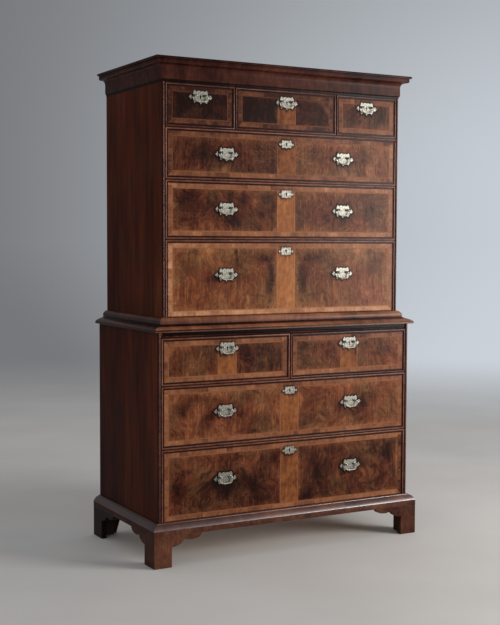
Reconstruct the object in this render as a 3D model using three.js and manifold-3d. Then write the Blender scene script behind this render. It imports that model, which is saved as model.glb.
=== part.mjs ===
// Walnut chest on chest of about 1715: a narrower upper case stands inside the waist moulding
// of a wider lower case on shaped bracket feet. Millimetres, +Z up, the front faces -Y,
// and the origin is on the floor below the middle of the whole piece.

import * as THREE from 'three'
import { mergeVertices } from 'three/addons/utils/BufferGeometryUtils.js'
import Module from 'manifold-3d'

const wasm = await Module()
wasm.setup()

// Case sizes
const lowerWidth = 1052
const lowerDepth = 534
const caseStep = 32 // the upper case stands back this far at the front and both sides
const lowerSideThickness = 20.5
const upperSideThickness = 18.6
const boardThickness = 18.6
const backThickness = 12
const backRebate = 9
const backPlanks = 5
const plankGroove = 2

// Rails, partitions and the double bead on their front edges
const railFace = 18.6
const railDepth = 62
const dustboardThickness = 8
const runnerWidth = 44
const beadHeight = 3.2
const beadQuirk = 1.1
const beadSteps = 4
const stopWidth = 44
const stopDepth = 16
const stopHeight = 5

// Drawers
const drawerGap = 1.2
const runningGap = 0.3
const drawerFrontThickness = 21
const drawerSideThickness = 10
const drawerBackThickness = 9
const drawerBottomThickness = 7
const drawerBottomRaise = 7
const drawerSideDrop = 9
const drawerBackDrop = 16
const drawerRearSpace = 14
const lockWidth = 66
const lockHeight = 44
const lockDepth = 9
const upperMiddleDrawerWidth = 403

// Drawer face heights, from the bottom row up
const lowerRowHeights = [242, 198.8, 146]
const upperRowHeights = [258, 185.6, 158.5, 130.3]

// Base, waist and cornice
const footHeight = 110
const fasciaHeight = 23
const baseProjection = 27
const baseShelf = 34
const baseOvoloRun = 18
const baseOvoloRise = 19
const baseOvoloBulge = 2.5
const baseBeadRun = 7
const baseBeadRise = 3
const lowerTopRail = 26.6
const waistProjection = 17
const waistDrop = 16
const waistNose = 7
const waistOvoloRun = 24.5
const waistOvoloRise = 13
const waistFaceOut = 16
const waistFaceSeat = 9
const waistFaceHeight = 13
const waistFaceBulge = 1
const waistFillet = 2.5
const waistEdge = 6
const waistTop = 32
const corniceHeight = 82.35
const corniceProjection = 37
const corniceCrown = 9
const corniceCrownRound = 3
const corniceFilletRun = 7
const corniceFillet = 12
const corniceSoffitRun = 16
const corniceSoffitDrop = 4
const corniceCove = 20
const friezeProjection = 5
const friezeFootCove = 9
const topRecess = 8
const curveSteps = 4

// Bracket feet
const footFrontWidth = 68
const footSideWidth = 82
const footBoard = 20
const footPostDrop = 39
const lobeOneRun = 46
const lobeOneRise = 23
const lobeTwoRun = 70
const lobeTwoSag = 4
const lobeSteps = 6
const footBlock = 40
const footBlockLift = 6
const rearBracketFoot = 85
const rearBracketTop = 120

// Brasses
const plateWidth = 98
const plateHeight = 50
const plateThickness = 1.6
const batWingSteps = 2
const escutcheonWidth = 70
const escutcheonHeight = 33
const escutcheonThickness = 1.4
const keyholeWidth = 3.2
const keyholeHeight = 12.5
const keyholeHead = 5.4
const keyholeSteps = 6
const plateKeyDrop = 35
const escutcheonKeyDrop = 31.5
const pommelSpread = 39
const pommelRise = 4.5
const pommelRadius = 4.6
const pommelStandOff = 9.4
const pommelNeckRadius = 2.6
const pommelCollarRadius = 5
const pommelCollar = 1.6
const pommelDomeShares = [0.8, 0.72]
const pommelSides = 6
const postShankRadius = 2
const postHoleClearance = 0.4
const nutRadius = 6
const nutThickness = 4
const blindEnd = 3.5
const blindHoleEnd = 3
const bailDrop = 20.5
const bailArmGap = 0.6
const bailPinLength = 3.6
const bailPinClearance = 0.4
const bailEndRadius = 1.4
const bailMiddleRadius = 2.3
const bailSides = 6
const bailRouteSteps = 6
const upperHandleSpacing = 245
const lowerHandleSpacing = 265
const upperHandleRises = [15, 3.5, 3]
const lowerHandleRises = [11, 10]

// Booleans cut this far past a face
const overrun = 1
const weld = 0.0005

// Heights that follow from the sizes above
const footPostHeight = footHeight - footPostDrop
const baseSeat = footHeight + fasciaHeight
const lowerFloor = baseSeat + boardThickness
const rowPitch = (height) => height + 2 * drawerGap + railFace
const stackHeight = (heights) => heights.reduce((sum, height) => sum + rowPitch(height), -railFace)
const lowerRailBottom = lowerFloor + stackHeight(lowerRowHeights)
const lowerCaseTop = lowerRailBottom + lowerTopRail + boardThickness
const upperFloor = waistTop
const friezeBottom = upperFloor + stackHeight(upperRowHeights)
const beadWidth = (railFace - 3 * beadQuirk) / 2
const corniceReveal = beadWidth + 2 * beadQuirk
const corniceTop = friezeBottom + corniceReveal + corniceHeight
const upperCaseTop = corniceTop - topRecess

// Plan sizes that follow
const lowerHalf = lowerWidth / 2
const upperHalf = lowerHalf - caseStep
const frontY = (baseProjection - lowerDepth) / 2
const backY = frontY + lowerDepth
const upperFrontY = frontY + caseStep
const lowerInner = lowerHalf - lowerSideThickness
const upperInner = upperHalf - upperSideThickness
const boardBackY = backY - backThickness
const partitionPlace = (upperMiddleDrawerWidth + railFace) / 2 + drawerGap

// Materials
function material(color, roughness, metalness) {
  return new THREE.MeshStandardMaterial({ color, roughness, metalness })
}

const walnutShow = () => material(0x8a4b25, 0.36, 0)
const walnutSide = () => material(0x4a2a1b, 0.42, 0)
const walnutMoulding = () => material(0x6f4127, 0.34, 0)
const pine = () => material(0xa57c4f, 0.8, 0)
const brass = () => material(0xcdb67a, 0.3, 1)

// Solids and geometry
function solidOf(geometry) {
  const bare = geometry.clone()
  bare.deleteAttribute('normal')
  bare.deleteAttribute('uv')
  const merged = mergeVertices(bare, weld)
  const vertProperties = new Float32Array(merged.attributes.position.array)
  const triVerts = new Uint32Array(merged.index.array)
  return new wasm.Manifold(new wasm.Mesh({ numProp: 3, vertProperties, triVerts }))
}

function geometryOf(solid) {
  const mesh = solid.getMesh()
  const geometry = new THREE.BufferGeometry()
  geometry.setAttribute('position', new THREE.BufferAttribute(mesh.vertProperties, mesh.numProp))
  geometry.setIndex(new THREE.BufferAttribute(mesh.triVerts, 1))
  geometry.computeVertexNormals()
  return geometry
}

function joined(...geometries) {
  return geometries.map(solidOf).reduce((sum, solid) => sum.add(solid))
}

function node(name, geometry, look, place = [0, 0, 0]) {
  const mesh = new THREE.Mesh(geometry, look)
  mesh.name = name
  mesh.position.set(...place)
  return mesh
}

function box(low, high) {
  const size = high.map((value, axis) => value - low[axis])
  const middle = high.map((value, axis) => (value + low[axis]) / 2)
  return new THREE.BoxGeometry(...size).translate(...middle)
}

const points2 = (pairs) => pairs.map(([a, b]) => new THREE.Vector2(a, b))

function extrudeUp(outline, low, high) {
  const shape = new THREE.Shape(points2(outline))
  const geometry = new THREE.ExtrudeGeometry(shape, { depth: high - low, bevelEnabled: false })
  return geometry.translate(0, 0, low)
}

// An outline of (y, z) pairs carried along X
function extrudeAcross(outline, low, high) {
  const axes = new THREE.Matrix4().makeBasis(
    new THREE.Vector3(0, 1, 0), new THREE.Vector3(0, 0, 1), new THREE.Vector3(1, 0, 0))
  return extrudeUp(outline, low, high).applyMatrix4(axes)
}

// A shape in (x, z) that stands out from y = back towards the front
function extrudeForward(shape, thickness, back) {
  const axes = new THREE.Matrix4().makeBasis(
    new THREE.Vector3(1, 0, 0), new THREE.Vector3(0, 0, 1), new THREE.Vector3(0, -1, 0))
  const geometry = new THREE.ExtrudeGeometry(shape, { depth: thickness, bevelEnabled: false })
  return geometry.applyMatrix4(axes).translate(0, back, 0)
}

// Rings of equal length joined into one closed skin, with a flat cap at each end
function loft(rings, capOutline) {
  const count = rings[0].length
  const positions = rings.flat().flatMap((point) => [point.x, point.y, point.z])
  const faces = []
  for (let ring = 0; ring + 1 < rings.length; ring += 1) {
    for (let side = 0; side < count; side += 1) {
      const next = (side + 1) % count
      const a = ring * count + side
      const b = ring * count + next
      faces.push([a, b, b + count], [a, b + count, a + count])
    }
  }
  const last = (rings.length - 1) * count
  for (const [a, b, c] of THREE.ShapeUtils.triangulateShape(capOutline, [])) {
    faces.push([a, c, b], [a + last, b + last, c + last])
  }
  const geometry = new THREE.BufferGeometry()
  geometry.setAttribute('position', new THREE.Float32BufferAttribute(positions, 3))
  geometry.setIndex(faces.flat())
  if (signedVolume(geometry) < 0) {
    geometry.setIndex(faces.flatMap(([a, b, c]) => [a, c, b]))
  }
  geometry.computeVertexNormals()
  return geometry
}

function signedVolume(geometry) {
  const corner = (index) => new THREE.Vector3().fromBufferAttribute(geometry.attributes.position, index)
  const order = geometry.index.array
  let volume = 0
  for (let face = 0; face < order.length; face += 3) {
    const a = corner(order[face])
    const b = corner(order[face + 1])
    const c = corner(order[face + 2])
    volume += a.dot(b.cross(c))
  }
  return volume
}

// A moulding section of (projection, z) pairs, mitred round the front and both sides
function mouldingAround(half, front, back, section) {
  const stations = [
    ([out, z]) => new THREE.Vector3(-half - out, back, z),
    ([out, z]) => new THREE.Vector3(-half - out, front - out, z),
    ([out, z]) => new THREE.Vector3(half + out, front - out, z),
    ([out, z]) => new THREE.Vector3(half + out, back, z),
  ]
  return loft(stations.map((place) => section.map(place)), points2(section))
}

// Points along a quadratic curve after its start
function curve(from, control, to, steps = curveSteps) {
  const path = new THREE.QuadraticBezierCurve(...points2([from, control, to]))
  return path.getPoints(steps).slice(1).map((point) => [point.x, point.y])
}

// Two half-round beads side by side over a width: pairs of (place along the width, height)
function doubleBead(width) {
  const bead = (width - 3 * beadQuirk) / 2
  const line = [[0, 0]]
  for (const start of [beadQuirk, beadQuirk + bead + beadQuirk]) {
    for (let step = 0; step <= beadSteps; step += 1) {
      const angle = Math.PI * step / beadSteps
      const along = start + bead * (1 - Math.cos(angle)) / 2
      line.push([along, beadHeight * Math.sin(angle)])
    }
  }
  line.push([width, 0])
  return line
}

// The side of a case: a board rebated for the back planks, with the double bead
// on the stretch of its front edge that shows between the mouldings
function caseSide(side, half, thickness, front, [low, high], [beadLow, beadHigh]) {
  const inner = half - thickness
  const board = [
    [half, backY],
    [inner + backRebate, backY],
    [inner + backRebate, boardBackY],
    [inner, boardBackY],
    [inner, front],
    [half, front],
  ]
  const strip = [
    [half, front + overrun],
    [inner, front + overrun],
    ...doubleBead(thickness).map(([along, height]) => [inner + along, front - height]),
  ]
  const place = (outline) => outline.map(([x, y]) => [side * x, y])
  return geometryOf(joined(extrudeUp(place(board), low, high), extrudeUp(place(strip), beadLow, beadHigh)))
}

// Back planks nailed in the rebates, with a shallow groove where two planks meet
function caseBack(inner, low, high) {
  const half = inner + backRebate
  const plankWidth = 2 * half / backPlanks
  const plan = [[-half, boardBackY], [half, boardBackY], [half, backY]]
  for (let plank = backPlanks - 1; plank > 0; plank -= 1) {
    const seam = plank * plankWidth - half
    plan.push([seam + plankGroove / 2, backY], [seam, backY - plankGroove], [seam - plankGroove / 2, backY])
  }
  plan.push([-half, backY])
  return extrudeUp(plan, low, high)
}

// Section of a rail with its beaded edge and the thinner dustboard behind it
function railSection(front, bottom) {
  const top = bottom + railFace
  const panelLow = bottom + (railFace - dustboardThickness) / 2
  const panelHigh = panelLow + dustboardThickness
  return [
    ...doubleBead(railFace).map(([along, height]) => [front - height, bottom + along]),
    [front + railDepth, top],
    [front + railDepth, panelHigh],
    [boardBackY, panelHigh],
    [boardBackY, panelLow],
    [front + railDepth, panelLow],
    [front + railDepth, bottom],
  ]
}

// A strip that one drawer side runs on, full depth behind the rail
function runner(low, high, front, bottom) {
  return box([low, front + railDepth - overrun, bottom], [high, boardBackY, bottom + railFace])
}

// A small block that stops the drawer front flush with the rail
function drawerStop(centre, front, floor) {
  const near = front + drawerFrontThickness + runningGap
  return box([centre - stopWidth / 2, near, floor - overrun],
    [centre + stopWidth / 2, near + stopDepth, floor + stopHeight])
}

// An upright between two drawers of one row, with the double bead on its front edge
function partition(centre, front, low, high) {
  const left = centre - railFace / 2
  const plan = [
    ...doubleBead(railFace).map(([along, height]) => [left + along, front - height]),
    [left + railFace, boardBackY],
    [left, boardBackY],
  ]
  return extrudeUp(plan, low, high)
}

// A rail, its dustboard and runners, with the stops and partitions of the row above it
function divider(inner, front, bottom, row, uprightTop) {
  const floor = bottom + railFace
  const pieces = [
    extrudeAcross(railSection(front, bottom), -inner, inner),
    runner(-inner, -inner + runnerWidth, front, bottom),
    runner(inner - runnerWidth, inner, front, bottom),
    ...stopsOf(row, front, floor),
  ]
  for (const centre of row.partitions) {
    pieces.push(runner(centre - runnerWidth, centre + runnerWidth, front, bottom))
    pieces.push(partition(centre, front, floor - overrun, uprightTop))
  }
  return geometryOf(joined(...pieces))
}

function stopsOf(row, front, floor) {
  return row.cells.map((cell) => {
    const reach = cell.width / 2 - drawerSideThickness - stopWidth
    return [cell.centre - reach, cell.centre + reach]
  }).flat().map((centre) => drawerStop(centre, front, floor))
}

// Rows of drawers: where each cell's middle is and how wide its drawer is
function longRow(name, inner) {
  return { cells: [{ name, centre: 0, width: 2 * (inner - drawerGap) }], partitions: [] }
}

function pairRow(inner) {
  const width = inner - railFace / 2 - 2 * drawerGap
  const centre = (inner + railFace / 2) / 2
  const cells = [{ name: 'lower_left', centre: -centre, width }, { name: 'lower_right', centre, width }]
  return { cells, partitions: [0] }
}

function tripleRow(inner) {
  const near = partitionPlace + railFace / 2
  const width = inner - near - 2 * drawerGap
  const centre = (inner + near) / 2
  const cells = [
    { name: 'upper_left', centre: -centre, width },
    { name: 'upper_middle', centre: 0, width: upperMiddleDrawerWidth },
    { name: 'upper_right', centre, width },
  ]
  return { cells, partitions: [-partitionPlace, partitionPlace] }
}

const lowerRows = [
  longRow('lower_long_2', lowerInner),
  longRow('lower_long_1', lowerInner),
  pairRow(lowerInner),
]
const upperRows = [
  longRow('upper_long_3', upperInner),
  longRow('upper_long_2', upperInner),
  longRow('upper_long_1', upperInner),
  tripleRow(upperInner),
]

// The height of the surface that a row runs on
function rowFloor(caseFloor, heights, row) {
  return caseFloor + railFace + stackHeight(heights.slice(0, row))
}

// Bat-wing outline for one half, from the top middle round to the bottom middle, as shares
// of half the width and half the height: a pair is a curve's control and end, one point a line
const batWingShares = {
  notch: [0, 0.64],
  lobe: [[0.02, 0.84], [0.19, 0.84]],
  valley: [[0.31, 0.84], [0.345, 0.7]],
  hornInner: [[0.46, 1]],
  hornOuter: [[0.56, 0.9], [0.55, 0.62]],
  shoulder: [[0.55, 0.26], [0.67, 0.14]],
  upperBarb: [[0.79, 0.54]],
  wingTip: [[0.88, 0.36], [1, 0.06]],
  lowerBarb: [[0.9, -0.22], [0.77, -0.54]],
  neck: [[0.67, -0.14]],
  hip: [[0.56, -0.26], [0.55, -0.56]],
  corner: [[0.46, -0.84]],
  apron: [[0.4, -0.62], [0.22, -0.66]],
  finial: [[0.06, -0.7], [0, -1]],
}

function batWingShape(width, height, keyhole) {
  const place = ([acrossShare, upShare]) => [acrossShare * width / 2, upShare * height / 2]
  const { notch, ...sweeps } = batWingShares
  const half = [place(notch)]
  for (const [near, end] of Object.values(sweeps)) {
    half.push(...(end ? curve(half.at(-1), place(near), place(end), batWingSteps) : [place(near)]))
  }
  const mirrored = half.slice(1, -1).reverse().map(([x, z]) => [-x, z])
  const shape = new THREE.Shape(points2([...half, ...mirrored]))
  if (keyhole) {
    shape.holes.push(new THREE.Path(points2(keyholeOutline())))
  }
  return shape
}

// A key slot with a round head, about its own middle
function keyholeOutline() {
  const top = keyholeHeight / 2
  const head = keyholeHead / 2
  const slot = keyholeWidth / 2
  const meet = Math.asin(slot / head)
  const outline = [[-slot, -top], [slot, -top]]
  for (let step = 0; step <= keyholeSteps; step += 1) {
    const angle = meet + (2 * Math.PI - 2 * meet) * step / keyholeSteps
    outline.push([head * Math.sin(angle), top - head - head * Math.cos(angle)])
  }
  return outline
}

// A pommel post turned about its own axis: head, neck, collar and shank, with a nut inside
// the drawer, or a plain end in the wood where the lock covers it
function postProfile(behindLock) {
  const back = drawerFrontThickness + nutThickness
  const shank = [
    [0, -pommelStandOff - pommelRadius],
    [pommelRadius * pommelDomeShares[0], -pommelStandOff - pommelRadius * pommelDomeShares[1]],
    [pommelRadius, -pommelStandOff],
    [pommelNeckRadius, -pommelStandOff + pommelRadius],
    [pommelCollarRadius, -plateThickness - pommelCollar],
    [pommelCollarRadius, -plateThickness / 2],
    [postShankRadius, -plateThickness / 2],
  ]
  const nut = [
    [postShankRadius, drawerFrontThickness],
    [nutRadius, drawerFrontThickness],
    [nutRadius, back],
    [0, back],
  ]
  const plainEnd = [
    [postShankRadius, drawerFrontThickness - blindEnd],
    [0, drawerFrontThickness - blindEnd],
  ]
  return [...shank, ...(behindLock ? plainEnd : nut)]
}

function post(centre, behindLock) {
  const turned = new THREE.LatheGeometry(points2(postProfile(behindLock)), pommelSides)
  return turned.translate(centre, 0, pommelRise)
}

// The hole in each pommel that a pin of the bail turns in, open on the outer side
function pinHole(side) {
  const radius = bailEndRadius + bailPinClearance
  const middle = pommelSpread / 2
  const length = pommelRadius + overrun
  const hole = new THREE.CylinderGeometry(radius, radius, length, bailSides)
  return hole.rotateZ(Math.PI / 2).translate(side * (middle + length / 2), -pommelStandOff, pommelRise)
}

function handlePlate(keyhole) {
  const plate = extrudeForward(batWingShape(plateWidth, plateHeight, keyhole), plateThickness, 0)
  const half = pommelSpread / 2
  const solid = joined(plate, post(-half, keyhole), post(half, keyhole))
  const holes = [-1, 1].map((side) => solidOf(pinHole(side)))
  return geometryOf(holes.reduce((rest, hole) => rest.subtract(hole), solid))
}

// Places along half the bail, from the middle of the grip to where it meets the pommel,
// as shares of the arm's reach and of the drop
const bailRouteShares = [
  [0, 1],
  [0.42, 0.985],
  [0.8, 0.82],
  [0.99, 0.46],
  [1, 0.16],
  [0.95, 0],
]

// Bail: pins that turn in the pommels, swan-neck arms and a thicker grip, about its own axis
function bail() {
  const pommelFace = pommelSpread / 2 + pommelRadius
  const arm = pommelFace + bailArmGap + bailEndRadius
  const route = new THREE.CatmullRomCurve3(bailRouteShares.map(([acrossShare, downShare]) =>
    new THREE.Vector3(arm * acrossShare, 0, -bailDrop * downShare)), false, 'centripetal')
  const pin = new THREE.Vector3(pommelFace - bailPinLength, 0, 0)
  const half = [...route.getSpacedPoints(bailRouteSteps), pin]
  const mirrored = half.slice(1).reverse().map((point) => new THREE.Vector3(-point.x, 0, point.z))
  const centreLine = [...mirrored, ...half]
  return loft(centreLine.map((point, index) => bailRing(centreLine, index)), ringOutline())
}

function ringOutline() {
  const angles = Array.from({ length: bailSides }, (unused, side) => 2 * Math.PI * side / bailSides)
  return points2(angles.map((angle) => [Math.cos(angle), Math.sin(angle)]))
}

function bailRing(centreLine, index) {
  const before = centreLine[Math.max(index - 1, 0)]
  const after = centreLine[Math.min(index + 1, centreLine.length - 1)]
  const along = after.clone().sub(before).normalize()
  const outward = new THREE.Vector3(0, 1, 0)
  const across = along.clone().cross(outward)
  const point = centreLine[index]
  const depthShare = Math.min(1, Math.max(0, -point.z / bailDrop))
  const radius = bailEndRadius + (bailMiddleRadius - bailEndRadius) * depthShare ** 2
  return ringOutline().map((unit) => point.clone()
    .addScaledVector(across, radius * unit.x)
    .addScaledVector(outward, radius * unit.y))
}

// A drawer about the bottom middle of its face: front board, dovetailed tray, lock,
// and on a long drawer the escutcheon round the keyhole
function drawer(width, height, depth, handles, keyDrop, escutcheon) {
  const half = width / 2
  const inner = half - drawerSideThickness
  const floor = runningGap - drawerGap
  const sideTop = height - drawerSideDrop
  const bottomLow = floor + drawerBottomRaise
  const bottomHigh = bottomLow + drawerBottomThickness
  const keyHeight = height - keyDrop
  const pieces = [
    box([-half, 0, 0], [half, drawerFrontThickness, height]),
    box([-half, drawerFrontThickness - overrun, floor], [-inner, depth, sideTop]),
    box([inner, drawerFrontThickness - overrun, floor], [half, depth, sideTop]),
    box([-half, depth - drawerBackThickness, bottomLow], [half, depth, height - drawerBackDrop]),
    box([-half, drawerFrontThickness - overrun, bottomLow], [half, depth, bottomHigh]),
    lockBox(keyHeight),
  ]
  if (escutcheon) {
    const shape = batWingShape(escutcheonWidth, escutcheonHeight, false)
    pieces.push(extrudeForward(shape, escutcheonThickness + overrun, overrun).translate(0, 0, keyHeight))
  }
  const holeEnd = escutcheon ? -overrun : blindHoleEnd
  const cuts = [keySlot(keyHeight), ...handles.flatMap(([x, z]) => postHoles(x, z, holeEnd))]
  const whole = joined(...pieces)
  return geometryOf(cuts.map(solidOf).reduce((rest, cut) => rest.subtract(cut), whole))
}

function lockBox(keyHeight) {
  const low = keyHeight - lockHeight / 2
  return box([-lockWidth / 2, drawerFrontThickness - overrun, low],
    [lockWidth / 2, drawerFrontThickness + lockDepth, low + lockHeight])
}

function keySlot(keyHeight) {
  const depth = drawerFrontThickness + escutcheonThickness + overrun
  const shape = new THREE.Shape(points2(keyholeOutline()))
  return extrudeForward(shape, depth, drawerFrontThickness).translate(0, 0, keyHeight)
}

function postHoles(x, z, end) {
  const radius = postShankRadius + postHoleClearance
  const length = drawerFrontThickness - end + overrun
  return [-1, 1].map((side) => new THREE.CylinderGeometry(radius, radius, length, pommelSides)
    .translate(x + side * pommelSpread / 2, length / 2 - overrun, z + pommelRise))
}

// Bracket foot outline by distance from the outer corner: post, two lobes and the fascia above
function bracketOutline(postWidth) {
  const postTop = [postWidth, footPostHeight]
  const cusp = [postWidth + lobeOneRun, footPostHeight + lobeOneRise]
  const sag = [cusp[0] + lobeOneRun / 2, cusp[1] - lobeTwoSag]
  const end = cusp[0] + lobeTwoRun
  return [
    [0, 0],
    [postWidth, 0],
    postTop,
    ...curve(postTop, [cusp[0] - lobeOneRise / 2, footPostHeight], cusp, lobeSteps),
    sag,
    ...curve(sag, [end, sag[1]], [end, footHeight], lobeSteps),
    [0, footHeight],
  ]
}

// A bracket across the front or the back: outer is the x of the foot's outside, low its front y
function bracket(side, outline, outer, thickness, low) {
  const shape = new THREE.Shape(points2(outline.map(([run, z]) => [side * (outer - run), z])))
  return extrudeForward(shape, thickness, low + thickness)
}

// A bracket along a side, from the y of the foot's outside towards the middle of the case
function sideBracket(side, outline, start, direction, outer) {
  const placed = outline.map(([run, z]) => [start + direction * run, z])
  const low = side > 0 ? outer - footBoard : -outer
  return extrudeAcross(placed, low, low + footBoard)
}

function cornerBlock(side, outer, nearY, farY) {
  const inner = outer - footBoard - footBlock
  const x = [side * inner, side * (outer - footBoard + overrun)].sort((a, b) => a - b)
  return box([x[0], nearY, footBlockLift], [x[1], farY, footHeight])
}

function frontFoot(side) {
  const outer = lowerHalf + baseProjection
  const front = frontY - baseProjection
  return geometryOf(joined(
    bracket(side, bracketOutline(footFrontWidth), outer, footBoard, front),
    sideBracket(side, bracketOutline(footSideWidth), front, 1, outer),
    cornerBlock(side, outer, front + footBoard - overrun, front + footBoard + footBlock),
  ))
}

function rearOutline() {
  return [[footBoard / 2, 0], [rearBracketFoot, 0], [rearBracketTop, footHeight], [footBoard / 2, footHeight]]
}

function backFoot(side) {
  const outer = lowerHalf + baseProjection
  return geometryOf(joined(
    sideBracket(side, bracketOutline(footSideWidth), backY, -1, outer),
    bracket(side, rearOutline(), outer, footBoard, backY - footBoard),
    cornerBlock(side, outer, backY - footBoard - footBlock, backY - footBoard + overrun),
  ))
}

// The control point of a flat curve that stands out from the line between its ends
function bulged([startOut, startZ], [endOut, endZ], bulge) {
  const length = Math.hypot(endOut - startOut, endZ - startZ)
  const [out, up] = [(endZ - startZ) / length, (startOut - endOut) / length]
  return [(startOut + endOut) / 2 + 2 * bulge * out, (startZ + endZ) / 2 + 2 * bulge * up]
}

// Base: mitred moulding over a fascia and shelf, with a rear rail and the bottom board on it
function baseMoulding() {
  const top = lowerFloor
  const beadFoot = [baseProjection - baseOvoloRun, top - baseBeadRise]
  const ovoloFoot = [baseProjection, top - baseBeadRise - baseOvoloRise]
  const section = [
    [-baseShelf, footHeight],
    [baseProjection, footHeight],
    ovoloFoot,
    ...curve(ovoloFoot, bulged(ovoloFoot, beadFoot, baseOvoloBulge), beadFoot),
    [baseBeadRun, top - baseBeadRise / 2],
    [0, top],
    [0, baseSeat],
    [-baseShelf, baseSeat],
  ]
  return geometryOf(joined(
    mouldingAround(lowerHalf, frontY, backY, section),
    box([-lowerHalf, backY - baseShelf, footHeight], [lowerHalf, backY, baseSeat]),
    box([-lowerInner, frontY, baseSeat - overrun], [lowerInner, boardBackY, lowerFloor]),
    ...stopsOf(lowerRows[0], frontY, lowerFloor),
  ))
}

// Waist: mitred moulding that holds the upper case, with the lower case's top board and rail
function waistMoulding() {
  const nose = lowerCaseTop - waistDrop + waistNose
  const ovoloTop = [waistProjection - waistOvoloRun, nose + waistOvoloRise]
  const ovoloControl = [waistProjection - waistOvoloRun / 4, nose + waistOvoloRise * 2 / 3]
  const faceFoot = [waistFaceOut - caseStep, lowerCaseTop + waistFaceSeat]
  const faceTop = [faceFoot[0], faceFoot[1] + waistFaceHeight]
  const edgeFoot = [faceTop[0] - waistFillet, faceTop[1] + waistFillet]
  const top = lowerCaseTop + waistTop
  const edgeTop = [beadQuirk - caseStep, top]
  const section = [
    [0, lowerCaseTop - waistDrop],
    [waistProjection, lowerCaseTop - waistDrop],
    [waistProjection, nose],
    ...curve([waistProjection, nose], ovoloControl, ovoloTop),
    faceFoot,
    ...curve(faceFoot, [faceFoot[0] + 2 * waistFaceBulge, (faceFoot[1] + faceTop[1]) / 2], faceTop),
    edgeFoot,
    ...curve(edgeFoot, [edgeFoot[0] - waistEdge, top], edgeTop),
    [-caseStep, top],
    [-caseStep, lowerCaseTop],
    [0, lowerCaseTop],
  ]
  const boardLow = lowerCaseTop - boardThickness
  const rail = [
    ...doubleBead(railFace).map(([along, height]) => [frontY - height, lowerRailBottom + along]),
    [frontY, boardLow + overrun],
    [frontY + railDepth, boardLow + overrun],
    [frontY + railDepth, lowerRailBottom],
  ]
  const kickers = [-lowerInner, -runnerWidth / 2, lowerInner - runnerWidth]
  return geometryOf(joined(
    mouldingAround(lowerHalf, frontY, backY, section),
    box([-lowerInner, frontY, boardLow], [lowerInner, boardBackY, lowerCaseTop]),
    extrudeAcross(rail, -lowerInner, lowerInner),
    ...kickers.map((low) => box([low, frontY + railDepth - overrun, lowerRailBottom],
      [low + runnerWidth, boardBackY, boardLow + overrun])),
  ))
}

// Cornice: crown, fillet, soffit, cove and plain frieze, mitred round the upper case
function cornice() {
  const low = friezeBottom + corniceReveal
  const crownFoot = corniceTop - corniceCrown
  const fillet = corniceProjection - corniceFilletRun
  const filletFoot = crownFoot - corniceFillet
  const coveTop = [fillet - corniceSoffitRun, filletFoot - corniceSoffitDrop]
  const coveFoot = [friezeProjection, coveTop[1] - corniceCove]
  const section = [
    [0, low],
    [beadQuirk, low],
    ...curve([beadQuirk, low], [beadQuirk, low + friezeFootCove], [friezeProjection, low + friezeFootCove]),
    coveFoot,
    ...curve(coveFoot, [friezeProjection, coveTop[1] - corniceSoffitDrop], coveTop),
    [fillet, filletFoot],
    [fillet, crownFoot],
    [corniceProjection, crownFoot + corniceCrownRound],
    [corniceProjection, corniceTop - corniceCrownRound],
    [corniceProjection - corniceCrownRound, corniceTop],
    [0, corniceTop],
  ]
  return mouldingAround(upperHalf, upperFrontY, backY, section)
}

// Top board of the upper case, with the frieze rail and the drawer kickers below it
function upperTopBoard() {
  const boardLow = upperCaseTop - boardThickness
  const bead = doubleBead(railFace).filter(([along]) => along < corniceReveal)
  const rail = [
    ...bead.map(([along, height]) => [upperFrontY - height, friezeBottom + along]),
    [upperFrontY, friezeBottom + bead.at(-1)[0]],
    [upperFrontY, boardLow + overrun],
    [upperFrontY + railDepth, boardLow + overrun],
    [upperFrontY + railDepth, friezeBottom],
  ]
  const kickers = [-upperInner, -partitionPlace - runnerWidth / 2, partitionPlace - runnerWidth / 2,
    upperInner - runnerWidth]
  return geometryOf(joined(
    box([-upperInner, upperFrontY, boardLow], [upperInner, boardBackY, upperCaseTop]),
    extrudeAcross(rail, -upperInner, upperInner),
    ...kickers.map((low) => box([low, upperFrontY + railDepth - overrun, friezeBottom],
      [low + runnerWidth, boardBackY, boardLow + overrun])),
  ))
}

function upperBottomBoard() {
  return geometryOf(joined(
    box([-upperInner, upperFrontY, upperFloor - boardThickness], [upperInner, boardBackY, upperFloor]),
    ...stopsOf(upperRows[0], upperFrontY, upperFloor),
  ))
}

// One drawer with its brasses, placed in its case
function drawerGroup(cell, front, floor, height, spacing, rise) {
  const group = new THREE.Group()
  group.position.set(cell.centre, front, floor + drawerGap)
  const isLong = spacing > 0
  const places = isLong
    ? [['_left', -spacing, height / 2 + rise], ['_right', spacing, height / 2 + rise]]
    : [['', 0, height - plateKeyDrop]]
  const depth = boardBackY - drawerRearSpace - front
  const holes = places.map(([, x, z]) => [x, z])
  const keyDrop = isLong ? escutcheonKeyDrop : plateKeyDrop
  const body = drawer(cell.width, height, depth, holes, keyDrop, isLong)
  group.add(node(`drawer_${cell.name}`, body, walnutShow()))
  for (const [suffix, x, z] of places) {
    const handle = new THREE.Group()
    handle.position.set(x, 0, z)
    handle.add(node(`plate_${cell.name}${suffix}`, handlePlate(!isLong), brass()))
    handle.add(node(`bail_${cell.name}${suffix}`, bail(), brass(), [0, -pommelStandOff, pommelRise]))
    group.add(handle)
  }
  return group
}

function fillCase(parent, rows, heights, caseFloor, front, spacing, rises) {
  rows.forEach((row, index) => {
    const floor = rowFloor(caseFloor, heights, index)
    const isLong = row.cells.length === 1
    for (const cell of row.cells) {
      parent.add(drawerGroup(cell, front, floor, heights[index], isLong ? spacing : 0, rises[index]))
    }
  })
}

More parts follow.
